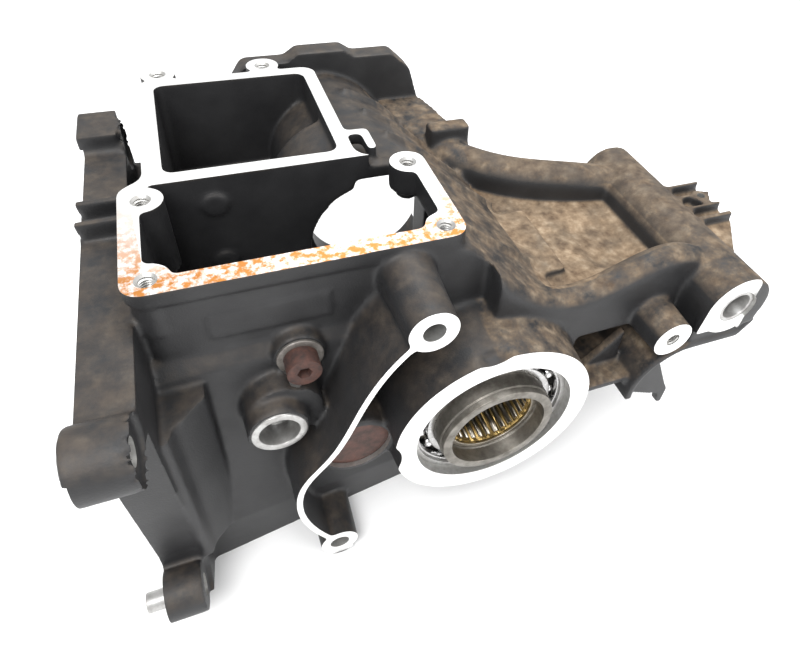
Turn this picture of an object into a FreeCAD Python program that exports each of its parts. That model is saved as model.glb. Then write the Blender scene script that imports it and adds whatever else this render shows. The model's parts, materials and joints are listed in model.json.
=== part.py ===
import FreeCAD, Part
import math
import os
import re
from types import SimpleNamespace

import Sketcher
from FreeCAD import Placement, Rotation, Vector

# Cast aluminium gearbox housing with its output shaft bearing still in place.
#
# X runs from the engine face (front, negative) to the swingarm pivot (rear, positive),
# Y from the output side (left, negative) to the door side (right), Z up.
# The origin lies on the output shaft axis, in the machined face of the output hub.
# All sizes are millimetres.

SIZES = [
    ("overlap", 1.0, "how far joined solids run into each other"),
    ("draft", 1.0, "growth of a short boss towards its root"),
    ("run_past", 2.0, "how far a cut runs past the face it opens"),
    # top cover deck
    ("deck_top", 105.5, "top cover face above the shaft axis"),
    ("deck_thick", 7.5, "thickness of the deck rim"),
    ("deck_front", -158.6, "front edge of the large frame"),
    ("deck_rear", -9.4, "rear edge of the large frame"),
    ("deck_left", 37.7, "left edge of the large frame"),
    ("deck_waist", 112.0, "right edge of the large frame"),
    ("neck_front", -147.3, "front edge of the small frame"),
    ("neck_rear", -42.7, "rear edge of the small frame"),
    ("neck_right", 223.5, "right edge of the small frame"),
    ("deck_corner", 9.0, "outer corner radius of the deck"),
    ("deck_overhang", 1.5, "deck rim proud of the walls"),
    ("rim_side", 9.2, "deck width beside the large window"),
    ("rim_left", 10.1, "deck width at the left of the large window"),
    ("rim_neck", 8.4, "deck width around the small window"),
    ("web_left", 113.6, "left edge of the web between the windows"),
    ("web_thick", 8.4, "web between the windows"),
    ("waist_step", 8.0, "left shoulder of the small frame behind the web"),
    ("window_corner", 5.0, "inner corner radius of the windows"),
    ("cover_hole_front", -148.5, "front row of the large frame's screw holes"),
    ("cover_hole_rear", -19.0, "rear row of the large frame's screw holes"),
    ("cover_hole_left", 47.0, "left row of the screw holes"),
    ("cover_hole_mid", 102.5, "middle row of the screw holes"),
    ("cover_hole_right", 231.0, "right row of the screw holes"),
    ("ear_front", -134.7, "front ear of the small frame"),
    ("ear_rear", -73.0, "rear ear of the small frame"),
    ("cover_hole_radius", 3.4, "M8 thread core in the deck"),
    ("cover_hole_depth", 20.0, "depth of the deck threads"),
    ("cover_hole_mouth", 5.2, "countersink radius of the deck threads"),
    ("cover_boss_radius", 10.0, "boss around each deck thread"),
    ("hook_reach", 12.6, "reach of the cable hook beyond the small frame"),
    ("hook_left", 119.0, "tip of the cable hook"),
    ("hook_right", 141.0, "root of the cable hook"),
    ("hook_width", 5.2, "width of the cable hook"),
    # upper box and lower case
    ("wall", 5.5, "casting wall"),
    ("ledge_height", 58.0, "ledge where the upper box meets the lower case"),
    ("ledge_step", 6.0, "step of that ledge at the front"),
    ("ledge_lip", 2.0, "height of that ledge"),
    ("box_root", 15.0, "upper box runs down into the lower case"),
    ("keel_height", -54.0, "widest line of the lower case"),
    ("keel_front", 19.0, "left wall at the keel, front end"),
    ("keel_rear", 29.0, "left wall at the keel, rear end"),
    ("pan_height", -88.0, "machined oil pan face"),
    ("pan_front", 20.0, "left edge of the pan face, front end"),
    ("pan_rear", 36.0, "left edge of the pan face, rear end"),
    ("case_front", -157.2, "rear face of the engine plate"),
    ("fairing_length", 20.0, "fillet between the engine plate and the left wall"),
    ("fairing_depth", 15.0, "fillet between the engine plate and the left wall"),
    ("fairing_lip", 3.0, "outer edge of that fillet"),
    ("fairing_knee", 6.0, "middle of that fillet"),
    ("case_joint", -39.0, "rear end of the tapered left wall"),
    ("case_rear", 57.0, "rear wall of the case"),
    ("case_right", 240.0, "right wall of the case"),
    ("case_right_front", 204.0, "right wall beside the engine face"),
    ("tray_floor", 46.0, "floor of the small compartment"),
    ("tunnel_x", -34.0, "gear tunnel between the compartments and the door"),
    ("tunnel_z", 49.0, "gear tunnel centre height"),
    ("tunnel_radius", 36.5, "gear tunnel radius"),
    ("tunnel_swell", 11.0, "thicker back of the tunnel at its left end"),
    ("tunnel_step", 168.0, "end of that thicker back"),
    # arched rear of the case
    ("arch_root", -60.0, "where the arch leaves the box"),
    ("arch_base", 40.0, "lower edge of the arch section"),
    ("arch_mid_place", 130.0, "middle section of the arch"),
    ("arch_left_crown_x", -9.4, "left section: crown"),
    ("arch_left_crown_z", 96.0, "left section: crown height"),
    ("arch_left_haunch_x", 17.0, "left section: haunch"),
    ("arch_left_haunch_z", 73.5, "left section: haunch height"),
    ("arch_left_toe", 48.0, "left section: toe"),
    ("arch_mid_crown_x", -14.0, "middle section: crown"),
    ("arch_mid_crown_z", 95.0, "middle section: crown height"),
    ("arch_mid_haunch_x", 12.0, "middle section: haunch"),
    ("arch_mid_haunch_z", 75.5, "middle section: haunch height"),
    ("arch_mid_toe", 44.0, "middle section: toe"),
    ("arch_right_crown_x", -33.0, "right section: crown"),
    ("arch_right_crown_z", 92.0, "right section: crown height"),
    ("arch_right_haunch_x", -5.0, "right section: haunch"),
    ("arch_right_haunch_z", 77.0, "right section: haunch height"),
    ("arch_right_toe", 9.0, "right section: toe"),
    ("arch_toe_height", 50.0, "height of the arch toe"),
    ("rib_count", 6, "ribs over the arch"),
    ("rib_start", 62.0, "first rib over the arch"),
    ("rib_pitch", 29.6, "pitch of the ribs"),
    ("rib_radius", 3.2, "half-round section of a rib"),
    # door side
    ("flange_front", -100.0, "front edge of the door flange"),
    ("flange_rear", 42.0, "rear edge of the door flange"),
    ("flange_chamfer", 9.0, "lower rear corner of the door flange, along X"),
    ("flange_chamfer_height", 22.0, "lower rear corner of the door flange, along Z"),
    ("flange_haunch_x", 30.0, "upper rear shoulder of the door flange"),
    ("flange_haunch_z", 89.0, "upper rear shoulder of the door flange"),
    ("flange_crown_x", 17.0, "rear end of the flange top"),
    ("flange_crown_z", 101.5, "height of the flange top"),
    ("flange_hump_rear", -10.0, "rear end of the raised part of the flange top"),
    ("flange_hump_front", -56.0, "front end of the raised part of the flange top"),
    ("flange_hump_ramp", 8.0, "ramp of the raised part"),
    ("flange_hump_z", 107.0, "height of the raised part"),
    ("flange_shoulder_x", -84.0, "front end of the flange top"),
    ("flange_shoulder_z", 78.0, "front shoulder of the door flange"),
    ("flange_round", 7.0, "corner radius of the door flange"),
    ("case_rear_cut", 60.0, "slant of the case behind the door, along Y"),
    ("case_blend", 27.0, "slant of the case in front of the door, along X"),
    ("door_thick", 14.0, "flange of the right side door"),
    ("door_bore", 48.0, "door opening radius"),
    ("door_x", -3.0, "door opening centre"),
    ("door_z", -34.0, "door opening centre height"),
    ("door_screw_circle", 54.0, "pitch radius of the door screws"),
    ("door_screw_count", 4, "door screws"),
    ("door_screw_radius", 2.6, "M6 thread core"),
    ("door_screw_depth", 16.0, "depth of the door threads"),
    ("stud_x", -117.0, "inner pads on the web wall"),
    ("stud_upper", 89.0, "upper inner pad"),
    ("stud_lower", 51.5, "lower inner pad"),
    ("stud_radius", 6.5, "inner pad radius"),
    ("stud_length", 2.0, "inner pad, proud of the web wall"),
    # output hub
    ("hub_radius", 56.7, "face radius of the output hub"),
    ("hub_root", 60.0, "hub radius where it meets the case"),
    ("bearing_outer", 45.0, "bearing outside radius"),
    ("bearing_bore", 32.5, "bearing bore radius"),
    ("bearing_width", 13.0, "bearing width"),
    ("bearing_depth", 8.0, "depth of the bearing below the hub face"),
    ("shoulder_radius", 41.5, "shoulder behind the bearing"),
    ("shoulder_thick", 4.5, "shoulder behind the bearing"),
    ("gear_room", 48.5, "recess radius around the drive gear"),
    ("relief_x", -9.0, "relief in the hub face edge"),
    ("relief_z", 70.0, "relief in the hub face edge"),
    ("relief_radius", 16.5, "relief in the hub face edge"),
    ("relief_depth", 7.0, "relief in the hub face edge"),
    # side cover bosses and sealing land
    ("boss_upper_x", -41.0, "upper cover boss"),
    ("boss_upper_z", 87.9, "upper cover boss"),
    ("boss_upper_radius", 11.7, "upper cover boss"),
    ("boss_lower_x", -88.6, "lower cover boss"),
    ("boss_lower_z", -76.3, "lower cover boss"),
    ("boss_lower_radius", 10.7, "lower cover boss"),
    ("boss_rear_x", 104.4, "rear cover boss"),
    ("boss_rear_z", 33.0, "rear cover boss"),
    ("boss_rear_radius", 12.0, "rear cover boss"),
    ("boss_flare", 2.5, "growth of a boss towards its root"),
    ("boss_hole", 5.4, "dowel bore of the upper and lower boss"),
    ("boss_rear_hole", 4.2, "thread core of the rear boss"),
    ("boss_hole_depth", 24.0, "bore depth in the bosses"),
    ("land_width", 3.2, "sealing land between the bosses"),
    ("land_knee_x", -74.0, "land: end of the straight run"),
    ("land_knee_z", 45.0, "land: end of the straight run"),
    ("land_bend_x", -90.5, "land: first bend"),
    ("land_bend_z", 12.0, "land: first bend"),
    ("land_turn_x", -102.5, "land: second bend"),
    ("land_turn_z", -3.5, "land: second bend"),
    ("land_elbow_x", -107.0, "land: outermost point"),
    ("land_elbow_z", -20.0, "land: outermost point"),
    ("land_foot_x", -102.0, "land: run to the lower boss"),
    ("land_foot_z", -50.0, "land: run to the lower boss"),
    # fittings in the left wall
    ("pad_front", -129.4, "serial pad"),
    ("pad_rear", -76.5, "serial pad"),
    ("pad_low", 72.2, "serial pad"),
    ("pad_high", 86.6, "serial pad"),
    ("pad_proud", 0.8, "serial pad height above the wall"),
    ("screw_x", -94.0, "detent screw"),
    ("screw_z", 56.0, "detent screw"),
    ("screw_seat", 32.0, "face of the detent screw boss"),
    ("screw_head_radius", 8.0, "detent screw head"),
    ("screw_head_height", 9.5, "detent screw head"),
    ("screw_shank_radius", 5.0, "detent screw shank"),
    ("screw_shank_length", 17.0, "detent screw shank"),
    ("screw_socket", 3.6, "socket in the screw head"),
    ("socket_depth", 7.6, "depth of that socket"),
    ("screw_bore_depth", 30.0, "thread of the detent screw"),
    ("washer_radius", 11.0, "sealing washer"),
    ("washer_thick", 1.6, "sealing washer"),
    ("port_x", -109.6, "filler port"),
    ("port_z", 29.0, "filler port"),
    ("port_face", 12.5, "face of the filler port boss"),
    ("port_boss", 14.5, "filler port boss radius"),
    ("port_ring", 13.0, "steel ring in the filler port"),
    ("port_bore", 9.4, "bore of the steel ring"),
    ("port_core", 10.2, "cored bore behind the steel ring"),
    ("port_ring_length", 12.0, "length of the steel ring"),
    ("port_proud", 1.0, "steel ring proud of its boss"),
    ("port_spot_face", 21.0, "spot face behind the filler port"),
    ("port_spot_radius", 19.0, "spot face behind the filler port"),
    ("port_spot_offset", 4.0, "that spot face stands behind the port by this"),
    ("plug_x", -73.0, "expansion plug"),
    ("plug_z", -5.5, "expansion plug"),
    ("plug_radius", 18.0, "expansion plug"),
    ("plug_face", 14.0, "face of the plug boss"),
    ("plug_depth", 2.5, "plug below its boss face"),
    ("plug_thick", 2.0, "expansion plug sheet"),
    ("plug_dish", 1.2, "dish of the expansion plug"),
    ("plug_boss", 21.5, "plug boss radius"),
    ("case_bore", 40.0, "bores run this far into the case"),
    ("plug_ledge", 3.0, "seat under the edge of the plug"),
    ("plug_clearance", 1.5, "hub cut back inside the plug boss"),
    # engine face
    ("engine_face", -177.7, "machined engine face"),
    ("engine_top", 89.0, "top edge of the engine plate"),
    ("plate_waist_y", 0.4, "left edge of the engine plate, upper place"),
    ("plate_waist_z", 29.0, "left edge of the engine plate, upper place"),
    ("plate_knee_y", 6.4, "left edge of the engine plate, lower place"),
    ("plate_knee_z", -41.0, "left edge of the engine plate, lower place"),
    ("plate_cut", 30.0, "lower right corner of the engine plate, along Y"),
    ("engine_recess", 6.0, "depth of the cored pockets in the engine face"),
    ("engine_rim", 12.0, "rim around those pockets"),
    ("pocket_side", 6.0, "engine pockets beside the lower lugs"),
    ("pocket_mid", 4.0, "engine pockets beside the stays"),
    ("lug_left", -17.6, "upper left engine lug"),
    ("lug_right", 188.8, "upper right engine lug"),
    ("lug_top", 85.2, "height of the upper lugs"),
    ("lug_radius", 14.0, "upper lugs"),
    ("lug_root", 9.8, "flank of the engine plate beside an upper lug"),
    ("lug_hole", 5.6, "engine bolt holes"),
    ("lug_spot", 13.2, "spot faces on the lugs"),
    ("lug_spot_depth", 2.5, "depth of those spot faces"),
    ("spot_reach", 12.0, "spot faces cut away what stands behind them"),
    ("lug_right_end", 205.0, "square end of the upper right lug"),
    ("lug_right_start", 177.0, "near end of the upper right lug"),
    ("lug_square", 24.0, "height of that square end below the lug's hole"),
    ("foot_left", -6.6, "lower left engine lug"),
    ("foot_right", 180.0, "lower right engine lug"),
    ("foot_height", -58.0, "height of the lower lugs"),
    ("foot_radius", 12.5, "lower lugs"),
    ("foot_hole", 5.6, "dowel bore of the lower left lug"),
    ("dowel_wall", 1.5, "hollow dowel wall"),
    ("dowel_length", 22.0, "hollow dowel"),
    ("dowel_nose", 5.0, "radius of the dowel's free end"),
    ("dowel_proud", 9.5, "hollow dowel beyond the engine face"),
    ("stay_left", 99.5, "first stay over the engine plate"),
    ("stay_right", 115.5, "second stay over the engine plate"),
    ("stay_thick", 3.6, "stay thickness"),
    ("stay_top", 99.0, "stay height"),
    ("stay_root", 14.0, "stay below the top of the engine plate"),
    ("stay_reach", 0.7, "stay beyond the engine face"),
    # rear arms and pivot
    ("floor_top", 47.0, "floor between the arms"),
    ("floor_thick", 5.5, "floor between the arms"),
    ("pivot_x", 142.2, "swingarm pivot"),
    ("pivot_z", 48.0, "swingarm pivot"),
    ("pivot_radius", 20.3, "pivot tube outside radius"),
    ("pivot_length", 140.0, "pivot tube length"),
    ("pivot_flat", 32.0, "lower edge of the pivot's machined face"),
    ("pivot_setback", 3.0, "cast part of the tube behind its machined face"),
    ("pivot_bore", 11.0, "bushing bore"),
    ("pivot_core", 14.0, "cored middle of the tube"),
    ("bushing_bore", 8.6, "pivot bushing bore"),
    ("bushing_length", 30.0, "pivot bushing"),
    ("pivot_face_left", 120.5, "lower left corner of the pivot's machined face"),
    ("block_front", 44.0, "raised block at the foot of the arch"),
    ("block_rear", 62.0, "raised block at the foot of the arch"),
    ("block_left", 53.0, "raised block at the foot of the arch"),
    ("block_right", 110.0, "raised block at the foot of the arch"),
    ("block_top", 52.5, "raised block at the foot of the arch"),
    ("pocket_front", 84.0, "shallow pocket in the floor"),
    ("pocket_rear", 115.0, "shallow pocket in the floor"),
    ("pocket_left", 52.0, "shallow pocket in the floor"),
    ("pocket_right", 92.0, "shallow pocket in the floor"),
    ("pocket_depth", 2.5, "shallow pocket in the floor"),
    ("near_arm_face", 22.0, "outer face of the left arm"),
    ("near_arm_inner", 40.0, "inner face of the left arm"),
    ("near_arm_low", 27.0, "upper edge of the window in the left arm"),
    ("near_arm_round", 7.0, "rounded crest of the left arm"),
    ("crest_front_x", 2.0, "crest of the left arm: front end"),
    ("crest_front_z", 88.0, "crest of the left arm: front end"),
    ("crest_fall_x", 19.0, "crest of the left arm: down the arch"),
    ("crest_fall_z", 71.0, "crest of the left arm: down the arch"),
    ("crest_foot_x", 37.0, "crest of the left arm: foot of the arch"),
    ("crest_foot_z", 60.5, "crest of the left arm: foot of the arch"),
    ("crest_saddle_x", 58.0, "crest of the left arm: lowest place"),
    ("crest_saddle_z", 58.0, "crest of the left arm: lowest place"),
    ("crest_boss_x", 84.0, "crest of the left arm: above the rear boss"),
    ("crest_boss_z", 66.0, "crest of the left arm: above the rear boss"),
    ("crest_rear_z", 60.0, "crest of the left arm: at the pivot"),
    ("window_front", 58.0, "front end of the window in the left arm"),
    ("far_arm_radius", 13.0, "right arm, round top"),
    ("far_arm_depth", 12.0, "right arm, straight sides below the round top"),
    ("far_arm_height", 56.0, "right arm, centre of the round top"),
    ("far_arm_x0", 28.0, "right arm: front end"),
    ("far_arm_y0", 184.0, "right arm: front end"),
    ("far_arm_x1", 40.0, "right arm: bend"),
    ("far_arm_y1", 166.0, "right arm: bend"),
    ("far_arm_x2", 62.0, "right arm: second place"),
    ("far_arm_y2", 144.5, "right arm: second place"),
    ("far_arm_x3", 91.0, "right arm: third place"),
    ("far_arm_y3", 130.0, "right arm: third place"),
    ("far_arm_y4", 120.0, "right arm: at the pivot"),
    ("guard_x", 126.0, "tyre guard arc centre"),
    ("guard_z", -15.0, "tyre guard arc centre"),
    ("guard_radius", 31.0, "tyre guard, concave face"),
    ("guard_thick", 4.5, "tyre guard wall"),
    ("guard_right", 132.0, "right end of the tyre guard"),
    ("guard_left", 1.5, "left edge of the tyre guard"),
    ("guard_low", 6.0, "lower end of the guard below its arc centre"),
    ("gusset_setback", 6.0, "gusset inside the guard, behind its left edge"),
    ("gusset_tip_x", 131.0, "gusset inside the guard: outer tip"),
    ("gusset_tip_z", -33.0, "gusset inside the guard: outer tip"),
    ("gusset_hook", 12.0, "hook below the gusset's tip"),
    ("gusset_hook_thick", 4.5, "hook below the gusset's tip"),
    ("gusset_neck", 3.6, "notch in front of that hook"),
    ("web_top", -4.0, "web below the left arm"),
    ("web_left_edge", 8.0, "left edge of that web"),
    ("pad_boss_x", 36.0, "rear pad on the right of the arch"),
    ("pad_boss_y", 178.0, "rear pad on the right of the arch"),
    ("pad_boss_top", 78.5, "rear pad on the right of the arch"),
    ("pad_boss_width", 28.0, "rear pad on the right of the arch"),
    ("pad_boss_depth", 12.0, "rear pad on the right of the arch"),
    ("pad_boss_root", 12.0, "rear pad below the floor between the arms"),
    ("pad_boss_shift", 5.0, "rear pad in front of its centre line"),
    ("ledge_drop", 11.0, "ledge behind the rear pad, below its top"),
    ("ledge_front", 16.0, "ledge in front of the rear pad"),
    ("ledge_rear", 22.0, "ledge to the right of the rear pad"),
    ("ledge_inset", 4.0, "ledge inside the outline of the rear pad"),
    ("bracket_reach", 181.0, "rear edge of the finned bracket"),
    ("bracket_left", 56.0, "left edge of the finned bracket"),
    ("bracket_right", 93.0, "right edge of the finned bracket"),
    ("bracket_top", 58.0, "plate of the finned bracket"),
    ("bracket_thick", 3.5, "plate and fins of the bracket"),
    ("bracket_root", 12.0, "bracket starts this far behind the pivot axis"),
    ("fin_thick", 2.8, "fins of the bracket"),
    ("fin_height", 7.0, "fins of the bracket"),
    ("fin_count", 4, "fins of the bracket"),
    ("bracket_boss_x", 171.0, "thread boss in the bracket"),
    ("bracket_boss_y", 77.0, "thread boss in the bracket"),
    ("bracket_boss_radius", 6.0, "thread boss in the bracket"),
    ("bracket_boss_drop", 4.0, "thread boss below the bracket"),
    ("bracket_hole", 2.6, "M6 thread core in the bracket"),
    ("strap_left", 28.0, "left end of the web beside the bracket"),
    # output shaft bearing
    ("race_thick", 3.9, "thickness of a bearing race"),
    ("groove_depth", 1.3, "ball groove depth"),
    ("ball_count", 17, "balls"),
    ("ball_radius", 3.6, "ball radius"),
    ("ball_clearance", 0.04, "running clearance of a ball"),
    ("cage_thick", 1.2, "ball cage"),
    ("cage_width", 5.0, "ball cage"),
    ("cage_offset", 0.4, "cage to one side of the balls"),
    ("cage_play", 0.15, "balls in their cage pockets"),
    ("clip_thick", 1.8, "retaining ring"),
    ("clip_width", 4.0, "retaining ring, radial width"),
    ("clip_gap", 14.0, "gap of the retaining ring"),
    ("clip_seat", 1.6, "depth of the groove for the retaining ring"),
    ("clip_play", 0.1, "play of the ring in its groove"),
    ("clip_lug", 10.0, "depth of the ring opening"),
    # drive gear with its sleeve
    ("sleeve_bore", 26.2, "bore of the drive sleeve"),
    ("sleeve_proud", 4.3, "sleeve beyond the hub face"),
    ("sleeve_mouth", 26.8, "seal seat in the mouth of the sleeve"),
    ("nose_radius", 31.9, "turned end of the sleeve, outside the hub"),
    ("nose_gap", 0.4, "gap between that turned end and the hub face"),
    ("gear_teeth", 30, "teeth of the drive gear"),
    ("gear_radius", 45.0, "tip radius of the drive gear"),
    ("gear_root", 40.5, "root radius of the drive gear"),
    ("gear_width", 15.0, "face width of the drive gear"),
    ("gear_clearance", 1.5, "gap between shoulder and gear"),
    ("sleeve_wall", 3.0, "gear bored smaller behind the needle bearing"),
    ("sleeve_collar", 2.0, "collar behind the inner race"),
    # needle bearing
    ("needle_shell", 1.2, "drawn cup wall"),
    ("needle_depth", 5.0, "needle bearing below the sleeve mouth"),
    ("needle_width", 22.0, "needle bearing width"),
    ("needle_radius", 1.6, "needle radius"),
    ("needle_count", 30, "needles"),
    ("needle_clearance", 0.03, "running clearance of a needle"),
    ("needle_cage_thick", 1.4, "needle cage"),
    ("needle_end_play", 0.3, "needle cage inside its cup"),
    ("needle_bar", 1.8, "end rings of the needle cage"),
    ("needle_play", 0.06, "needles in their slots"),
]

doc = FreeCAD.newDocument("gearbox_housing")
sheet = doc.addObject("Spreadsheet::Sheet", "Sizes")
for row, (alias, number, note) in enumerate(SIZES, start=1):
    sheet.set(f"A{row}", note)
    sheet.set(f"B{row}", str(number))
    sheet.setAlias(f"B{row}", alias)
doc.recompute()

WORDS = re.compile(r"\b(" + "|".join(alias for alias, number, note in SIZES) + r")\b")
size = SimpleNamespace(**{alias: float(sheet.get(alias)) for alias, number, note in SIZES})

FACING = {
    "X": Rotation(Vector(1, 1, 1), 120),
    "Y": Rotation(Vector(1, 0, 0), 90),
    "Z": Rotation(),
}
TURNED = {
    "X": Rotation(Vector(0, 1, 0), 90),
    "Y": Rotation(Vector(1, 0, 0), -90),
    "Z": Rotation(),
}
ALONG = {"X": Vector(1, 0, 0), "Y": Vector(0, 1, 0), "Z": Vector(0, 0, 1)}
ACROSS = {"X": "yz", "Y": "xz", "Z": "xy"}


# ---------------------------------------------------------------- building blocks

def bind(item, prop, formula):
    """Ties a property to the sheet; the formula uses the sheet's own words."""
    item.setExpression(prop, WORDS.sub(r"Sizes.\1", formula))


def box(name, x, y, z):
    """A block between two formulas on each axis."""
    item = doc.addObject("Part::Box", name)
    for prop, axis, (low, high) in (("Length", "x", x), ("Width", "y", y), ("Height", "z", z)):
        bind(item, prop, f"({high}) - ({low})")
        bind(item, f"Placement.Base.{axis}", low)
    return item


def rod(name, axis, centre, start, length, radius, end_radius=None):
    """A round bar or cone along one axis; centre holds the two places across it."""
    item = doc.addObject("Part::Cylinder" if end_radius is None else "Part::Cone", name)
    item.Placement = Placement(Vector(), TURNED[axis])
    bind(item, f"Placement.Base.{axis.lower()}", start)
    for letter, place in zip(ACROSS[axis], centre):
        bind(item, f"Placement.Base.{letter}", place)
    bind(item, "Height", length)
    if end_radius is None:
        bind(item, "Radius", radius)
    else:
        bind(item, "Radius1", radius)
        bind(item, "Radius2", end_radius)
    return item


def draw(sketch, corners):
    """Closes lines through corners, each placed by two formulas, in an empty sketch."""
    count = len(corners)
    ring = [Vector(math.cos(2 * math.pi * i / count), math.sin(2 * math.pi * i / count), 0)
            for i in range(count)]
    for i in range(count):
        sketch.addGeometry(Part.LineSegment(ring[i], ring[(i + 1) % count]))
    for i in range(count):
        sketch.addConstraint(Sketcher.Constraint("Coincident", i, 2, (i + 1) % count, 1))
    for i, corner in enumerate(corners):
        for kind, letter, formula in zip(("DistanceX", "DistanceY"), "uv", corner):
            number = sketch.addConstraint(Sketcher.Constraint(kind, -1, 1, i, 1, 1.0))
            sketch.renameConstraint(number, f"{letter}{i}")
            bind(sketch, f"Constraints.{letter}{i}", formula)


def outline(name, axis, place, corners):
    """A closed sketch square to one axis."""
    sketch = doc.addObject("Sketcher::SketchObject", name)
    sketch.Placement = Placement(Vector(), FACING[axis])
    bind(sketch, f"Placement.Base.{axis.lower()}", place)
    draw(sketch, corners)
    return sketch


def prism(name, axis, start, length, corners):
    """An outline pushed along its axis."""
    item = doc.addObject("Part::Extrusion", name)
    item.Base = outline(name + "_outline", axis, start, corners)
    item.DirMode = "Custom"
    item.Dir = ALONG[axis]
    item.Solid = True
    bind(item, "LengthFwd", length)
    return item


def loft(name, sections):
    """A ruled solid between outlines."""
    item = doc.addObject("Part::Loft", name)
    item.Sections = sections
    item.Solid = True
    item.Ruled = True
    return item


def free_form(name, shape):
    """A solid that no primitive or sketch gives."""
    item = doc.addObject("Part::Feature", name)
    item.Shape = shape
    return item


def fuse(name, items):
    item = doc.addObject("Part::MultiFuse", name)
    item.Shapes = items
    item.Refine = False
    return item


def cut(name, base, tool):
    item = doc.addObject("Part::Cut", name)
    item.Base = base
    item.Tool = tool
    item.Refine = False
    return item


def common(name, items):
    item = doc.addObject("Part::MultiCommon", name)
    item.Shapes = items
    return item


def rounded(name, source, radius, wanted):
    """Rounds the edges of one solid for which wanted(edge) holds."""
    doc.recompute()
    item = doc.addObject("Part::Fillet", name)
    item.Base = source
    item.Edges = [(i, radius, radius)
                  for i, edge in enumerate(source.Shape.Edges, start=1) if wanted(edge)]
    return item


def upright(edge):
    """An edge parallel to Z."""
    return len(edge.Vertexes) == 2 and abs(edge.tangentAt(edge.FirstParameter).z) > 0.999


def pipe(points, radius):
    """A round bar along a smooth curve through the points."""
    curve = Part.BSplineCurve()
    curve.interpolate([Vector(*point) for point in points])
    start = curve.value(curve.FirstParameter)
    heading = curve.tangent(curve.FirstParameter)[0]
    ring = Part.Wire([Part.Circle(start, heading, radius).toShape()])
    return Part.Wire([curve.toShape()]).makePipeShell([ring], True, False)


# ---------------------------------------------------------------- cast body, outside

def cover_holes():
    """Places of the six threads in the top cover deck."""
    return [
        ("cover_hole_front", "cover_hole_left"),
        ("cover_hole_rear", "cover_hole_left"),
        ("cover_hole_rear", "cover_hole_mid"),
        ("cover_hole_front", "cover_hole_mid"),
        ("ear_front", "cover_hole_right"),
        ("ear_rear", "cover_hole_right"),
    ]


def deck_solids():
    """The flat rim of the top cover with its ears and cable hook."""
    low = "deck_top - deck_thick"
    frame = rounded("deck_frame", prism("deck_plain", "Z", low, "deck_thick", [
        ("deck_front", "deck_left"),
        ("deck_rear", "deck_left"),
        ("deck_rear", "deck_waist"),
        ("neck_rear", "deck_waist + run_past"),
        ("neck_rear", "neck_right"),
        ("neck_front", "neck_right"),
        ("neck_front", "deck_waist + waist_step"),
        ("deck_front", "deck_waist"),
    ]), size.deck_corner, upright)
    solids = [frame]
    for i, (x, y) in enumerate(cover_holes()[4:]):
        solids.append(rod(f"ear_{i}", "Z", (x, y), low, "deck_thick", "cover_boss_radius"))
    solids.append(rounded("hook", prism("hook_plain", "Z", low, "deck_thick", [
        ("neck_rear - run_past", "hook_right - hook_width"),
        ("neck_rear + hook_reach - hook_width", "hook_right - hook_width"),
        ("neck_rear + hook_reach - hook_width", "hook_left"),
        ("neck_rear + hook_reach", "hook_left"),
        ("neck_rear + hook_reach", "hook_right"),
        ("neck_rear - run_past", "hook_right"),
    ]), size.hook_width * 0.4, upright))
    return solids


def box_solids():
    """The two boxes under the deck, with the bosses of its threads."""
    top = "deck_top - deck_thick"
    solids = [
        box("large_box", ("deck_front + deck_overhang", "deck_rear - deck_overhang"),
            ("deck_left + deck_overhang", "web_left + web_thick"), ("ledge_height - box_root", top)),
        box("small_box", ("neck_front + deck_overhang", "neck_rear - deck_overhang"),
            ("web_left", "neck_right - deck_overhang"), ("tray_floor - wall", top)),
    ]
    solids[0] = rounded("large_box_round", solids[0], size.deck_corner, upright)
    for i, (x, y) in enumerate(cover_holes()):
        solids.append(rod(f"cover_boss_{i}", "Z", (x, y), "deck_top - cover_hole_depth - wall",
                          "cover_hole_depth", "cover_boss_radius - deck_overhang"))
    return solids


def case_section(name, place, keel, pan, ledge, inset):
    """Half-open section of the lower case, square to X."""
    inside = f" + {inset}"
    return outline(name, "X", place, [
        (f"deck_left + deck_overhang{inside}", "ledge_height + ledge_step"),
        (f"deck_left + deck_overhang - {ledge}{inside}", "ledge_height - ledge_lip"),
        (f"{keel}{inside}", "keel_height"),
        (f"{pan}{inside}", "pan_height"),
        (f"case_right_front - {inset}", "pan_height"),
        (f"case_right_front - {inset}", "ledge_height + ledge_step"),
    ])


def case_solids():
    """The lower case: a tapered left wall, a square rear half and the door flange."""
    tapered = loft("tapered_case", [
        case_section("case_front_section", "case_front", "keel_front", "pan_front",
                     "ledge_step", "0"),
        case_section("case_joint_section", "case_joint", "keel_rear", "pan_rear",
                     "ledge_step / 2", "0"),
    ])
    plain = prism("square_case", "Z", "pan_height", "arch_base - pan_height", [
        ("case_joint - overlap", "pan_rear"),
        ("case_rear", "pan_rear"),
        ("case_rear", "case_right - case_rear_cut"),
        ("flange_rear", "case_right"),
        ("flange_front", "case_right"),
        ("flange_front - case_blend", "neck_right"),
        ("neck_front + deck_overhang", "neck_right - deck_overhang"),
        ("neck_front + deck_overhang", "case_right_front - wall"),
        ("case_joint - overlap", "case_right_front - wall"),
    ])
    fairing = prism("front_fairing", "Z", "keel_height", "ledge_height - keel_height - wall", [
        ("case_front - overlap", "keel_front - fairing_depth"),
        ("case_front + fairing_lip", "keel_front - fairing_depth + overlap"),
        ("case_front + fairing_knee", "keel_front - fairing_depth / 2"),
        ("case_front + fairing_length", "keel_front + wall"),
        ("case_front + fairing_length", "deck_left"),
        ("case_front - overlap", "deck_left"),
    ])
    return [tapered, plain, fairing, door_flange()]


def crosswise(edge):
    """An edge parallel to Y."""
    return len(edge.Vertexes) == 2 and abs(edge.tangentAt(edge.FirstParameter).y) > 0.999


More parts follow.
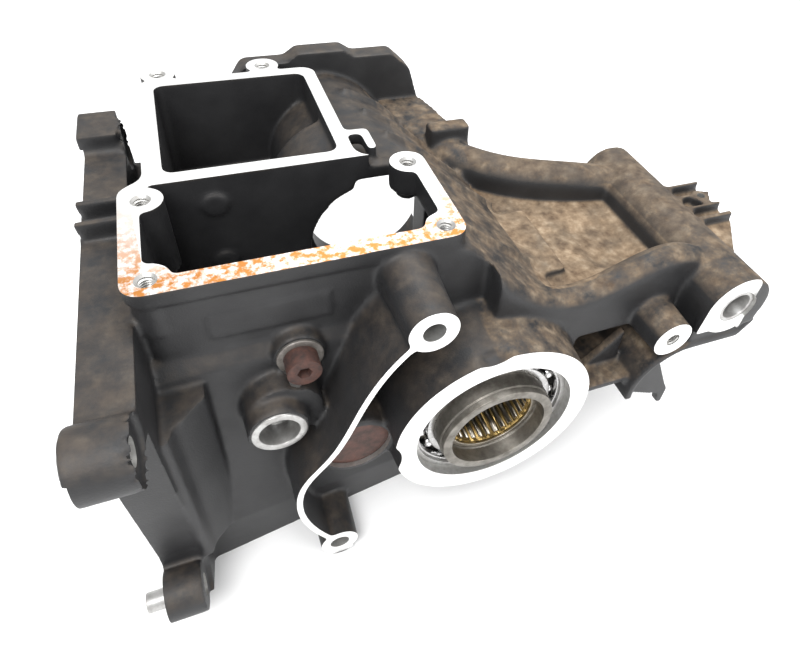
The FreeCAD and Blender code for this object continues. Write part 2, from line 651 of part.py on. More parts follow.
def door_flange():
    """The flange that the right side door is screwed to, raised where it passes the box."""
    return rounded("door_flange", prism("door_flange_plain", "Y", "case_right", "door_thick", [
        ("flange_front", "pan_height"),
        ("flange_rear - flange_chamfer", "pan_height"),
        ("flange_rear", "pan_height + flange_chamfer_height"),
        ("flange_rear", "floor_top"),
        ("flange_haunch_x", "flange_haunch_z"),
        ("flange_crown_x", "flange_crown_z"),
        ("flange_hump_rear", "flange_crown_z"),
        ("flange_hump_rear - flange_hump_ramp", "flange_hump_z"),
        ("flange_hump_front + flange_hump_ramp", "flange_hump_z"),
        ("flange_hump_front", "flange_crown_z"),
        ("flange_shoulder_x", "flange_crown_z"),
        ("flange_front", "flange_shoulder_z"),
    ]), size.flange_round, crosswise)


ARCH = {
    "left": "near_arm_inner",
    "mid": "arch_mid_place",
    "right": "case_right",
}


def arch_points(inset=0.0):
    """Crown, haunch and toe of the arch at its three sections, as (y, points)."""
    sections = []
    for side, place in ARCH.items():
        crown_x = getattr(size, f"arch_{side}_crown_x")
        crown_z = getattr(size, f"arch_{side}_crown_z")
        haunch_x = getattr(size, f"arch_{side}_haunch_x")
        haunch_z = getattr(size, f"arch_{side}_haunch_z")
        toe = getattr(size, f"arch_{side}_toe")
        sections.append((getattr(size, place), [
            (crown_x - 0.4 * inset, crown_z - inset),
            (haunch_x - 0.7 * inset, haunch_z - 0.7 * inset),
            (toe - inset, size.arch_toe_height),
        ]))
    return sections


def arch_solid(inset, base, start, end):
    """The arch between two places, lofted through its sections."""
    wires = []
    sections = arch_points(inset)
    sections[0] = (start, sections[0][1])
    sections[-1] = (end, sections[-1][1])
    for y, (crown, haunch, toe) in sections:
        corners = [Vector(toe[0], y, toe[1]), Vector(toe[0], y, base),
                   Vector(size.arch_root + inset, y, base),
                   Vector(size.arch_root + inset, y, crown[1]), Vector(crown[0], y, crown[1])]
        edges = [Part.LineSegment(a, b).toShape() for a, b in zip(corners, corners[1:])]
        edges.append(Part.Arc(corners[-1], Vector(haunch[0], y, haunch[1]), corners[0]).toShape())
        wires.append(Part.Wire(edges))
    return Part.makeLoft(wires, True, True)


def arch_curve(y):
    """The arc over the arch at one place along Y."""
    sections = arch_points()
    below = max(i for i, section in enumerate(sections[:-1]) if i == 0 or section[0] <= y)
    (y0, first), (y1, second) = sections[below:below + 2]
    share = (y - y0) / (y1 - y0)
    crown, haunch, toe = [Vector(a[0] + (b[0] - a[0]) * share, y, a[1] + (b[1] - a[1]) * share)
                          for a, b in zip(first, second)]
    return Part.Arc(crown, haunch, toe)


def arch_solids():
    """The arched top of the case with the ribs that run over it."""
    solids = [free_form("arch", arch_solid(0.0, size.arch_base - size.wall, size.near_arm_inner - 2,
                                           size.case_right))]
    for i in range(int(size.rib_count)):
        arc = arch_curve(size.rib_start + i * size.rib_pitch)
        start = arc.value(arc.FirstParameter)
        heading = arc.tangent(arc.FirstParameter)[0]
        ring = Part.Wire([Part.Circle(start, heading, size.rib_radius).toShape()])
        rib = Part.Wire([arc.toShape()]).makePipeShell([ring], True, False)
        solids.append(free_form(f"arch_rib_{i}", rib))
    return solids


def hub_solids():
    """The output hub and the bosses that carry the side cover."""
    solids = [rod("hub", "Y", ("0", "0"), "0", "pan_rear + overlap", "hub_radius", "hub_root")]
    bosses = [
        ("boss_upper", "deck_left + wall / 2", "boss_upper_radius + boss_flare"),
        ("boss_lower", "pan_rear", "boss_lower_z - pan_height"),
        ("boss_rear", "near_arm_inner", "boss_rear_radius + boss_flare"),
    ]
    for name, length, root in bosses:
        solids.append(rod(name, "Y", (f"{name}_x", f"{name}_z"), "0", length,
                          f"{name}_radius", root))
    return solids


def land_solid():
    """The narrow sealing land from the upper to the lower cover boss."""
    middle = Part.BSplineCurve()
    middle.interpolate([
        Vector(size.boss_upper_x, 0, size.boss_upper_z),
        Vector(size.land_knee_x, 0, size.land_knee_z),
        Vector(size.land_bend_x, 0, size.land_bend_z),
        Vector(size.land_turn_x, 0, size.land_turn_z),
        Vector(size.land_elbow_x, 0, size.land_elbow_z),
        Vector(size.land_foot_x, 0, size.land_foot_z),
        Vector(size.boss_lower_x, 0, size.boss_lower_z),
    ])
    first, last = middle.FirstParameter, middle.LastParameter
    samples = 18
    sides = ([], [])
    for i in range(samples + 1):
        place = first + (last - first) * i / samples
        heading = middle.tangent(place)[0]
        aside = Vector(-heading.z, 0, heading.x) * (size.land_width / 2)
        sides[0].append(middle.value(place) + aside)
        sides[1].append(middle.value(place) - aside)
    edges = []
    for points in (sides[0], sides[1][::-1]):
        curve = Part.BSplineCurve()
        curve.interpolate(points)
        edges.append(curve.toShape())
    edges.insert(1, Part.LineSegment(sides[0][-1], sides[1][-1]).toShape())
    edges.append(Part.LineSegment(sides[1][0], sides[0][0]).toShape())
    face = Part.Face(Part.Wire(edges))
    return free_form("sealing_land", face.extrude(Vector(0, size.deck_left + size.wall / 2, 0)))


def fitting_solids():
    """Bosses and pads on the left wall."""
    return [
        rod("port_boss", "Y", ("port_x", "port_z"), "port_face", "deck_left - port_face",
            "port_boss", "port_boss + draft"),
        rod("port_spot", "Y", ("port_x + port_spot_offset", "port_z"), "port_spot_face",
            "deck_left - port_spot_face", "port_spot_radius"),
        rod("plug_boss", "Y", ("plug_x", "plug_z"), "plug_face", "deck_left - plug_face + overlap",
            "plug_boss", "plug_boss + draft"),
        rod("screw_boss", "Y", ("screw_x", "screw_z"), "screw_seat", "deck_left - screw_seat + wall",
            "washer_radius + draft", "washer_radius + 2 * draft"),
        box("serial_pad", ("pad_front", "pad_rear"),
            ("deck_left + deck_overhang - pad_proud", "deck_left + wall"), ("pad_low", "pad_high")),
    ]


def engine_solids():
    """The engine plate with its four lugs and the stays above it."""
    thick = "case_front - engine_face"
    solids = [prism("engine_plate", "X", "engine_face", thick, [
        ("lug_left", "engine_top"),
        ("lug_left + lug_radius / 2", "lug_top - lug_root"),
        ("plate_waist_y - overlap", "lug_top - lug_radius - overlap"),
        ("plate_waist_y", "plate_waist_z"),
        ("plate_knee_y", "plate_knee_z"),
        ("foot_left + foot_radius", "foot_height + foot_radius"),
        ("foot_left + foot_radius", "foot_height"),
        ("foot_left", "foot_height - foot_radius"),
        ("pan_front", "pan_height"),
        ("case_right_front - plate_cut", "pan_height"),
        ("foot_right + foot_radius", "foot_height"),
        ("lug_right + lug_root", "0"),
        ("lug_right + lug_root + overlap", "lug_top"),
        ("lug_right - lug_radius", "engine_top"),
    ])]
    lugs = [
        ("lug_upper_left", "lug_left", "lug_top", "lug_radius"),
        ("lug_upper_right", "lug_right", "lug_top", "lug_radius"),
        ("lug_lower_left", "foot_left", "foot_height", "foot_radius"),
        ("lug_lower_right", "foot_right", "foot_height", "foot_radius"),
    ]
    for name, y, z, radius in lugs:
        solids.append(rod(name, "X", (y, z), "engine_face", thick, radius))
    solids.append(box("lug_square_end", ("engine_face", "case_front - lug_spot_depth"),
                      ("lug_right_start", "lug_right_end"),
                      ("lug_top - lug_square", "lug_top + lug_radius")))
    for name in ("stay_left", "stay_right"):
        solids.append(prism(name, "Y", name, "stay_thick", [
            ("engine_face - stay_reach", "stay_top"),
            ("engine_face + overlap", "engine_top - overlap"),
            ("deck_front + wall", "engine_top - stay_root"),
            ("deck_front + wall", "stay_top"),
        ]))
    return solids


def left_arm():
    """The left arm: an outline with a curved crest, rounded along it."""
    crest = Part.BSplineCurve()
    face = size.near_arm_face
    crest.interpolate([
        Vector(size.crest_front_x, face, size.crest_front_z),
        Vector(size.crest_fall_x, face, size.crest_fall_z),
        Vector(size.crest_foot_x, face, size.crest_foot_z),
        Vector(size.crest_saddle_x, face, size.crest_saddle_z),
        Vector(size.crest_boss_x, face, size.crest_boss_z),
        Vector(size.pivot_x, face, size.crest_rear_z),
    ])
    corners = [
        Vector(size.pivot_x, face, size.crest_rear_z),
        Vector(size.pivot_x, face, size.near_arm_low),
        Vector(size.window_front, face, size.near_arm_low),
        Vector(size.hub_radius - size.wall, face, 0),
        Vector(size.crest_front_x, face, 0),
        Vector(size.crest_front_x, face, size.crest_front_z),
    ]
    edges = [crest.toShape()]
    edges += [Part.LineSegment(a, b).toShape() for a, b in zip(corners, corners[1:])]
    thick = Vector(0, size.near_arm_inner - face, 0)
    arm = Part.Face(Part.Wire(edges)).extrude(thick)
    crests = [edge for edge in arm.Edges if isinstance(edge.Curve, Part.BSplineCurve)]
    return free_form("left_arm", arm.makeFillet(size.near_arm_round, crests))


def right_arm():
    """The right arm: a round-topped section swept along a curve."""
    spine = Part.BSplineCurve()
    spine.interpolate([
        Vector(size.far_arm_x0, size.far_arm_y0, size.far_arm_height),
        Vector(size.far_arm_x1, size.far_arm_y1, size.far_arm_height),
        Vector(size.far_arm_x2, size.far_arm_y2, size.far_arm_height),
        Vector(size.far_arm_x3, size.far_arm_y3, size.far_arm_height),
        Vector(size.pivot_x, size.far_arm_y4, size.pivot_z),
    ])
    start = spine.value(spine.FirstParameter)
    heading = spine.tangent(spine.FirstParameter)[0]
    aside = Vector(-heading.y, heading.x, 0) * size.far_arm_radius
    top = Vector(0, 0, size.far_arm_radius)
    foot = Vector(0, 0, -size.far_arm_depth)
    section = Part.Wire([
        Part.Arc(start + aside, start + top, start - aside).toShape(),
        Part.LineSegment(start - aside, start - aside + foot).toShape(),
        Part.LineSegment(start - aside + foot, start + aside + foot).toShape(),
        Part.LineSegment(start + aside + foot, start + aside).toShape(),
    ])
    sweep = Part.BRepOffsetAPI.MakePipeShell(Part.Wire([spine.toShape()]))
    sweep.setBiNormalMode(Vector(0, 0, 1))
    sweep.add(section)
    sweep.build()
    sweep.makeSolid()
    return free_form("right_arm", sweep.shape())


def rear_solids():
    """The two arms, the floor between them, the pivot tube and the tyre guard."""
    floor = prism("arm_floor", "Z", "floor_top - floor_thick", "floor_thick", [
        ("arch_mid_toe - 2 * wall", "near_arm_inner - overlap"),
        ("pivot_x", "near_arm_inner - overlap"),
        ("pivot_x", "far_arm_y4"),
        ("far_arm_x3", "far_arm_y3"),
        ("far_arm_x2", "far_arm_y2"),
        ("far_arm_x1", "far_arm_y1"),
        ("far_arm_x0", "far_arm_y0"),
        ("far_arm_x0 - 2 * wall", "far_arm_y0"),
    ])
    block = box("floor_block", ("block_front - wall", "block_rear"), ("block_left", "block_right"),
                ("floor_top - overlap", "block_top"))
    tube_body = rod("pivot_tube", "Y", ("pivot_x", "pivot_z"), "0", "pivot_length", "pivot_radius")
    foot = prism("pivot_foot", "Y", "0", "pivot_setback + overlap", [
        ("pivot_face_left", "pivot_flat"),
        ("pivot_x + pivot_radius - pivot_setback", "pivot_flat"),
        ("pivot_x + pivot_radius", "pivot_z"),
        ("pivot_x - pivot_radius", "pivot_z"),
    ])
    keel = prism("pivot_keel", "Y", "pivot_setback", "pivot_length - pivot_setback", [
        ("pivot_x - pivot_radius", "pivot_z"),
        ("pivot_x - pivot_radius", "guard_z + guard_radius"),
        ("pivot_x + pivot_radius - wall", "guard_z + guard_radius"),
        ("pivot_x + pivot_radius + wall / 2", "pivot_z - pivot_radius"),
        ("pivot_x + pivot_radius", "pivot_z"),
    ])
    return ([floor, block, left_arm(), right_arm(), tube_body, foot, keel]
            + guard_solids() + rear_pad_solids() + bracket_solids())


def rear_pad_solids():
    """The machined pad to the right of the arch and the ledge that ties it to the door flange."""
    half = "pad_boss_width / 2"
    return [
        box("rear_pad", (f"pad_boss_x - {half}", f"pad_boss_x + {half}"),
            ("pad_boss_y - pad_boss_shift", "pad_boss_y - pad_boss_shift + pad_boss_depth"),
            ("floor_top - pad_boss_root", "pad_boss_top")),
        prism("rear_pad_ledge", "Z", "floor_top - pad_boss_root",
              "pad_boss_top - ledge_drop - floor_top + pad_boss_root", [
                  (f"pad_boss_x - {half} - ledge_front", "case_right - run_past"),
                  (f"pad_boss_x - {half} - ledge_inset", "pad_boss_y + ledge_inset"),
                  (f"pad_boss_x + {half} - ledge_inset", "pad_boss_y + ledge_inset"),
                  (f"pad_boss_x + {half} - ledge_inset", "pad_boss_y + ledge_rear"),
                  ("pad_boss_x + run_past", "case_right - run_past"),
              ]),
    ]


def bracket_solids():
    """The small finned bracket on the rear of the pivot tube."""
    root = "pivot_x + bracket_root"
    low = "bracket_top - bracket_thick"
    solids = [
        box("bracket_plate", (root, "bracket_reach"), ("bracket_left", "bracket_right"),
            (low, "bracket_top")),
        rod("bracket_boss", "Z", ("bracket_boss_x", "bracket_boss_y"), f"{low} - bracket_boss_drop",
            "fin_height + bracket_thick + bracket_boss_drop", "bracket_boss_radius"),
        prism("bracket_strap", "Z", low, "bracket_thick", [
            (root, "strap_left"),
            ("pivot_x + pivot_radius - run_past", "strap_left"),
            ("bracket_reach", "bracket_left"),
            ("bracket_reach", "bracket_left + fin_thick"),
            (root, "bracket_left + fin_thick"),
        ]),
    ]
    pitch = "(bracket_right - bracket_left - bracket_thick) / (fin_count - 1)"
    for i in range(int(size.fin_count)):
        left = f"bracket_left + {i} * {pitch}"
        solids.append(box(f"bracket_fin_{i}", (root, "bracket_reach - run_past"),
                          (left, f"{left} + fin_thick"),
                          (f"{low} - overlap", "bracket_top + fin_height")))
    return solids


def guard_solids():
    """The curved tyre guard below the pivot and the webs that stiffen it."""
    start = "guard_left"
    reach = "guard_right - guard_left"
    outer = "guard_x - guard_radius - guard_thick"
    shell = cut("guard_shell",
                rod("guard_outer", "Y", ("guard_x", "guard_z"), start, reach,
                    "guard_radius + guard_thick"),
                rod("guard_inner", "Y", ("guard_x", "guard_z"), f"{start} - overlap",
                    f"{reach} + 2 * overlap", "guard_radius"))
    quarter = prism("guard_quarter", "Y", f"{start} - overlap", f"{reach} + 2 * overlap", [
        (f"{outer} - overlap", "guard_z - guard_low"),
        ("guard_x", "guard_z - overlap"),
        ("guard_x + wall", "guard_z + guard_radius + guard_thick + overlap"),
        (f"{outer} - overlap", "guard_z + guard_radius + guard_thick + overlap"),
    ])
    strap = prism("guard_strap", "Y", start, reach, [
        ("guard_x", "guard_z + guard_radius"),
        ("pivot_x + pivot_radius - pivot_setback", "guard_z + guard_radius - overlap"),
        ("pivot_x + pivot_radius + wall", "pivot_z - pivot_radius - overlap"),
        ("pivot_x + pivot_radius + wall / 2", "pivot_z - pivot_radius + guard_thick"),
        ("pivot_x + pivot_radius - pivot_setback", "guard_z + guard_radius + guard_thick"),
        ("guard_x", "guard_z + guard_radius + guard_thick"),
    ])
    inside = "guard_x - guard_radius"
    plate = prism("guard_gusset", "Y", "guard_left + gusset_setback", "wall", [
        (f"{inside} - overlap", "guard_z - guard_low"),
        ("gusset_tip_x - 2 * gusset_hook_thick - run_past", "gusset_tip_z"),
        ("gusset_tip_x - gusset_hook_thick - gusset_neck", "gusset_tip_z"),
        ("gusset_tip_x - gusset_hook_thick", "gusset_tip_z - gusset_hook"),
        ("gusset_tip_x", "gusset_tip_z - gusset_hook"),
        ("gusset_tip_x", "gusset_tip_z"),
        (f"{inside} + 2 * wall", "guard_z + guard_radius - overlap"),
        (f"{inside} - overlap", "guard_z + guard_radius / 2"),
    ])
    return [
        common("tyre_guard", [shell, quarter]),
        strap,
        plate,
        box("lower_web", ("hub_radius - wall", f"{outer} + overlap"),
            ("web_left_edge", "guard_right"), ("web_top - wall", "web_top")),
        prism("window_gusset", "Y", "near_arm_face", "wall", [
            (f"{outer} + overlap", "web_top - overlap"),
            (f"{outer} + overlap", "near_arm_low - wall"),
            ("hub_radius + 2 * wall", "web_top - overlap"),
        ]),
        box("guard_end", ("case_rear - overlap", f"{outer} + 2 * wall"),
            ("guard_right - 2 * wall", "guard_right - wall"),
            ("web_top - overlap", "floor_top - overlap")),
    ]


# ---------------------------------------------------------------- cast body, inside

def window_solid(name, front, rear, left, right, floor):
    """A window of the deck, cored down to a floor."""
    plain = prism(name + "_plain", "Z", floor, f"deck_top + 1 - ({floor})", [
        (front, left), (rear, left), (rear, right), (front, right)])
    return rounded(name, plain, size.window_corner, upright)


def core_solids():
    """Everything the cores leave open inside the casting."""
    large = window_solid("large_window", "deck_front + rim_side", "deck_rear - rim_side",
                         "deck_left + rim_left", "web_left", "arch_base - run_past")
    corner_bosses = fuse("window_bosses", [
        rod(f"window_boss_{i}", "Z", place, "arch_base - 2 * run_past", "deck_top - arch_base + 3 * run_past",
            "cover_boss_radius")
        for i, place in enumerate(cover_holes()[:4])])
    small = window_solid("small_window", "neck_front + rim_neck + overlap", "neck_rear - rim_neck",
                         "web_left + web_thick", "neck_right - rim_neck", "tray_floor")
    tapered = loft("tapered_core", [
        case_section("core_front_section", "case_front + wall", "keel_front", "pan_front - 1",
                     "ledge_step", "wall"),
        case_section("core_joint_section", "case_joint + 1", "keel_rear", "pan_rear - 1",
                     "ledge_step / 2", "wall"),
    ])
    plain = box("square_core", ("neck_front + deck_overhang + wall", "case_rear - wall"),
                ("pan_rear + wall", "case_right_front - wall"), ("pan_height - 1", "arch_base"))
    back = box("back_core", ("flange_front + wall", "flange_rear - 2 * wall"),
               ("pan_rear + wall", "case_right - 2 * wall"),
               ("pan_height - overlap", "arch_base - wall"))
    arch = free_form("arch_core", arch_solid(size.wall, size.arch_base - 4,
                                             size.near_arm_inner + size.wall,
                                             size.case_right - 2 * size.wall))
    return [
        cut("large_core", large, corner_bosses),
        cut("small_core", small, tunnel_back()),
        cut("gear_core", fuse("gear_core_plain", [tapered, plain, back]), tray_block("low")),
        cut("arch_hollow", arch, tray_block("high")),
        tunnel("gear_tunnel", "0", "web_left - wall", "case_right - 2 * wall"),
        rod("door_opening", "Y", ("door_x", "door_z"), "case_right - 3 * wall",
            "door_thick + 4 * wall", "door_bore"),
    ]


def tunnel(name, thicker, start, end):
    """The round gear tunnel, or its back when made thicker."""
    return rod(name, "Y", ("tunnel_x", "tunnel_z"), start, f"{end} - ({start})",
               f"tunnel_radius + {thicker}")


def tunnel_back():
    """The round back of the tunnel that shows inside the small compartment."""
    return fuse("tunnel_back", [
        tunnel("tunnel_back_left", "wall + tunnel_swell", "web_left", "tunnel_step"),
        tunnel("tunnel_back_right", "wall", "tunnel_step - 1", "case_right"),
    ])


def tray_block(name):
    """Floor and walls of the small compartment, kept out of the gear core."""
    return box(f"tray_block_{name}", ("neck_front", "neck_rear - deck_overhang"),
               ("web_left", "neck_right + overlap"), ("tray_floor - wall", "deck_top"))


def bore_solids():
    """The machined bores, threads and spot faces."""
    cuts = [
        rod("bearing_seat", "Y", ("0", "0"), "-1", "bearing_depth + bearing_width + 1",
            "bearing_outer"),
        rod("shoulder_bore", "Y", ("0", "0"), "bearing_depth", "pan_rear + wall",
            "shoulder_radius"),
        rod("gear_recess", "Y", ("0", "0"), "bearing_depth + bearing_width + shoulder_thick",
            "pan_rear + wall + 2 - bearing_depth - bearing_width - shoulder_thick", "gear_room"),
        rod("clip_groove", "Y", ("0", "0"), "bearing_depth - clip_thick - clip_play",
            "clip_thick + 2 * clip_play", "bearing_outer + clip_seat"),
        rod("hub_relief", "Y", ("relief_x", "relief_z"), "-1", "relief_depth + 1",
            "relief_radius"),
        rod("plug_clearance", "Y", ("plug_x", "plug_z"), "-1", "plug_face + 1",
            "plug_boss - plug_clearance"),
        rod("plug_seat", "Y", ("plug_x", "plug_z"), "plug_face - 1", "plug_depth + plug_thick + 1",
            "plug_radius"),
        rod("plug_bore", "Y", ("plug_x", "plug_z"), "plug_face", "case_bore", "plug_radius - plug_ledge"),
        rod("port_seat", "Y", ("port_x", "port_z"), "port_face - 1",
            "port_ring_length - port_proud + 1", "port_ring"),
        rod("port_bore_cut", "Y", ("port_x", "port_z"), "port_face", "case_bore", "port_core"),
        rod("screw_bore", "Y", ("screw_x", "screw_z"), "screw_seat - 1", "screw_bore_depth",
            "screw_shank_radius"),
        rod("screw_spot", "Y", ("screw_x", "screw_z"), "port_spot_face - draft",
            "screw_seat - port_spot_face + draft", "washer_radius + draft / 2"),
        rod("pivot_core_cut", "Y", ("pivot_x", "pivot_z"), "bushing_length",
            "pivot_length - 2 * bushing_length", "pivot_core"),
        rod("pivot_through", "Y", ("pivot_x", "pivot_z"), "-1", "pivot_length + 2",
            "pivot_bore"),
    ]
    cuts.append(box("floor_pocket", ("pocket_front", "pocket_rear"),
                    ("pocket_left", "pocket_right"), ("floor_top - pocket_depth", "deck_top")))
    for i, (x, y) in enumerate(cover_holes()):
        cuts.append(rod(f"cover_thread_{i}", "Z", (x, y), "deck_top - cover_hole_depth",
                        "cover_hole_depth + 1", "cover_hole_radius"))
        cuts.append(rod(f"cover_mouth_{i}", "Z", (x, y),
                        "deck_top - cover_hole_mouth + cover_hole_radius",
                        "cover_hole_mouth - cover_hole_radius",
                        "cover_hole_radius", "cover_hole_mouth"))
    for name, radius in (("boss_upper", "boss_hole"), ("boss_lower", "boss_hole"),
                         ("boss_rear", "boss_rear_hole")):
        cuts.append(rod(f"{name}_bore", "Y", (f"{name}_x", f"{name}_z"), "-1",
                        "boss_hole_depth + 1", radius))
    lugs = [
        ("upper_left", "lug_left", "lug_top", "lug_hole"),
        ("upper_right", "lug_right", "lug_top", "lug_hole"),
        ("lower_left", "foot_left", "foot_height", "foot_hole"),
        ("lower_right", "foot_right", "foot_height", "lug_hole"),
    ]
    for name, y, z, radius in lugs:
        cuts.append(rod(f"lug_bore_{name}", "X", (y, z), "engine_face - 1",
                        "case_front - engine_face + 2", radius))
        cuts.append(rod(f"lug_spot_{name}", "X", (y, z), "case_front - lug_spot_depth",
                        "lug_spot_depth + spot_reach", "lug_spot"))
    cuts.append(rod("bracket_thread", "Z", ("bracket_boss_x", "bracket_boss_y"),
                    "bracket_top - bracket_thick - bracket_boss_drop - run_past",
                    "fin_height + bracket_thick + bracket_boss_drop + 2 * run_past", "bracket_hole"))
    for i in range(int(size.door_screw_count)):
        angle = f"({i} + 0.5) * 360 / door_screw_count"
        cuts.append(rod(f"door_thread_{i}", "Y",
                        (f"door_x + door_screw_circle * cos(({angle}) * 1 deg)",
                         f"door_z + door_screw_circle * sin(({angle}) * 1 deg)"),
                        "case_right + door_thick - door_screw_depth", "door_screw_depth + 1",
                        "door_screw_radius"))
    for i, (low, high) in enumerate((("foot_left + foot_radius + pocket_side",
                                      "stay_left - pocket_mid"),
                                     ("stay_right + stay_thick + pocket_mid",
                                      "foot_right - foot_radius - pocket_side"))):
        cuts.append(box(f"engine_pocket_{i}", ("engine_face - 1", "engine_face + engine_recess"),
                        (low, high), ("pan_height + engine_rim", "engine_top - engine_rim")))
    return cuts


def housing():
    outside = (deck_solids() + box_solids() + case_solids() + arch_solids() + hub_solids()
               + [land_solid()] + fitting_solids() + engine_solids() + rear_solids())
    body = cut("housing_cored", fuse("housing_outside", outside),
               fuse("housing_cores", core_solids()))
    inner = fuse("housing_with_pads", [body] + [
        rod(f"stud_{level}", "Y", ("stud_x", f"stud_{level}"),
            "web_left - stud_length", "stud_length + 1", "stud_radius")
        for level in ("upper", "lower")])
    return cut("gearbox_housing", inner, fuse("housing_bores", bore_solids()))


# ---------------------------------------------------------------- separate pieces

def turned(name, profile, centre=("0", "0")):
    """A part turned about an axis along Y, from (radius, place along Y) corners."""
    body = doc.addObject("PartDesign::Body", name)
    sketch = body.newObject("Sketcher::SketchObject", name + "_profile")
    plane = [item for item in body.Origin.OriginFeatures if item.Role == "XY_Plane"][0]
    sketch.AttachmentSupport = [(plane, "")]
    sketch.MapMode = "FlatFace"
    draw(sketch, profile)
    turn = body.newObject("PartDesign::Revolution", name + "_turn")
    turn.Profile = sketch
    turn.ReferenceAxis = (sketch, ["V_Axis"])
    turn.Angle = 360
    body.Tip = turn
    bind(body, "Placement.Base.x", centre[0])
    bind(body, "Placement.Base.z", centre[1])
    return body


def tube(name, inner, outer, start, end, centre=("0", "0")):
    """A plain turned ring."""
    return turned(name, [(inner, start), (outer, start), (outer, end), (inner, end)], centre)


PITCH = "(bearing_outer + bearing_bore) / 2"
BEARING_MIDDLE = "bearing_depth + bearing_width / 2"
NEEDLE_PITCH = "sleeve_bore - needle_shell - needle_clearance - needle_radius"


def around(radius, number, count):
    """Places across Y of one of a ring of equal pieces."""
    angle = f"({number} * 360 / {count}) * 1 deg"
    return f"({radius}) * cos({angle})", f"({radius}) * sin({angle})"


def ball_ring(name, radius):
    """One sphere for each ball of the bearing."""
    spheres = []
    for i in range(int(size.ball_count)):
        sphere = doc.addObject("Part::Sphere", f"{name}_{i}")
        bind(sphere, "Radius", radius)
        x, z = around(PITCH, i, "ball_count")
        bind(sphere, "Placement.Base.x", x)
        bind(sphere, "Placement.Base.y", BEARING_MIDDLE)
        bind(sphere, "Placement.Base.z", z)
        spheres.append(sphere)
    return spheres


def ball_groove(name):
    """The torus that the balls sweep, with their running clearance."""
    torus = doc.addObject("Part::Torus", name)
    torus.Placement = Placement(Vector(), TURNED["Y"])
    bind(torus, "Radius1", PITCH)
    bind(torus, "Radius2", "ball_radius + ball_clearance")
    bind(torus, "Placement.Base.y", BEARING_MIDDLE)
    return torus


def group(name, items):
    item = doc.addObject("Part::Compound", name)
    item.Links = items
    return item


def bearing_pieces():
    """The deep groove ball bearing and the ring that holds it in the hub."""
    far = "bearing_depth + bearing_width"
    outer = cut("main_bearing_outer_race",
                tube("outer_race_blank", "bearing_outer - race_thick", "bearing_outer",
                     "bearing_depth", far),
                ball_groove("outer_race_groove"))
    inner = cut("main_bearing_inner_race",
                tube("inner_race_blank", "bearing_bore", "bearing_bore + race_thick",
                     "bearing_depth", far),
                ball_groove("inner_race_groove"))
    crown = tube("cage_blank", f"{PITCH} - cage_thick", f"{PITCH} + cage_thick",
                 f"{BEARING_MIDDLE} + cage_offset", f"{BEARING_MIDDLE} + cage_width")
    cage = cut("main_bearing_cage", crown,
               fuse("cage_pockets", ball_ring("cage_pocket", "ball_radius + cage_play")))
    balls = group("main_bearing_balls", ball_ring("ball", "ball_radius"))
    ring = tube("clip_blank", "bearing_outer + clip_seat - 2 * clip_play - clip_width",
                "bearing_outer + clip_seat - 2 * clip_play",
                "bearing_depth - clip_thick", "bearing_depth - clip_play / 2")
    clip = cut("bearing_retaining_ring", ring,
               box("clip_opening", ("-clip_gap / 2", "clip_gap / 2"), ("0", "bearing_depth"),
                   ("-bearing_outer - clip_lug / 2", "-bearing_outer + clip_lug")))
    return [outer, inner, cage, balls, clip]


def gear_outline():
    """Tooth outline of the drive gear, in the XZ plane."""
    teeth = int(size.gear_teeth)
    corners = []
    for i in range(teeth):
        for share, radius in ((0.0, size.gear_root), (0.30, size.gear_root),
                              (0.42, size.gear_radius), (0.62, size.gear_radius),
                              (0.74, size.gear_root)):
            angle = 2 * math.pi * (i + share) / teeth
            if share > 0.0:
                corners.append(Vector(radius * math.cos(angle), 0, radius * math.sin(angle)))
    return Part.Face(Part.makePolygon(corners + corners[:1]))


def drive_gear():
    """The gear with the hollow sleeve that carries the output sprocket."""
    start = "bearing_depth + bearing_width + shoulder_thick + gear_clearance"
    end = f"{start} + gear_width"
    sleeve = turned("sleeve_blank", [
        ("sleeve_mouth", "-sleeve_proud"),
        ("nose_radius", "-sleeve_proud"),
        ("nose_radius", "-nose_gap"),
        ("bearing_bore", "-nose_gap"),
        ("bearing_bore", "bearing_depth + bearing_width"),
        ("bearing_bore + sleeve_collar", "bearing_depth + bearing_width"),
        ("bearing_bore + sleeve_collar", start),
        ("gear_root - sleeve_collar", start),
        ("gear_root - sleeve_collar", end),
        ("sleeve_bore - sleeve_wall", end),
        ("sleeve_bore - sleeve_wall", "needle_depth + needle_width"),
        ("sleeve_bore", "needle_depth + needle_width"),
        ("sleeve_bore", "sleeve_proud"),
        ("sleeve_mouth", "sleeve_proud"),
    ])
    place = size.bearing_depth + size.bearing_width + size.shoulder_thick + size.gear_clearance
    teeth = gear_outline().extrude(Vector(0, size.gear_width, 0))
    hole = Part.makeCylinder(size.gear_root - size.sleeve_wall, size.gear_width, Vector(), Vector(0, 1, 0))
    rim = free_form("gear_rim", teeth.cut(hole))
    rim.Placement = Placement(Vector(0, place, 0), Rotation())
    return fuse("main_drive_gear", [sleeve, rim])


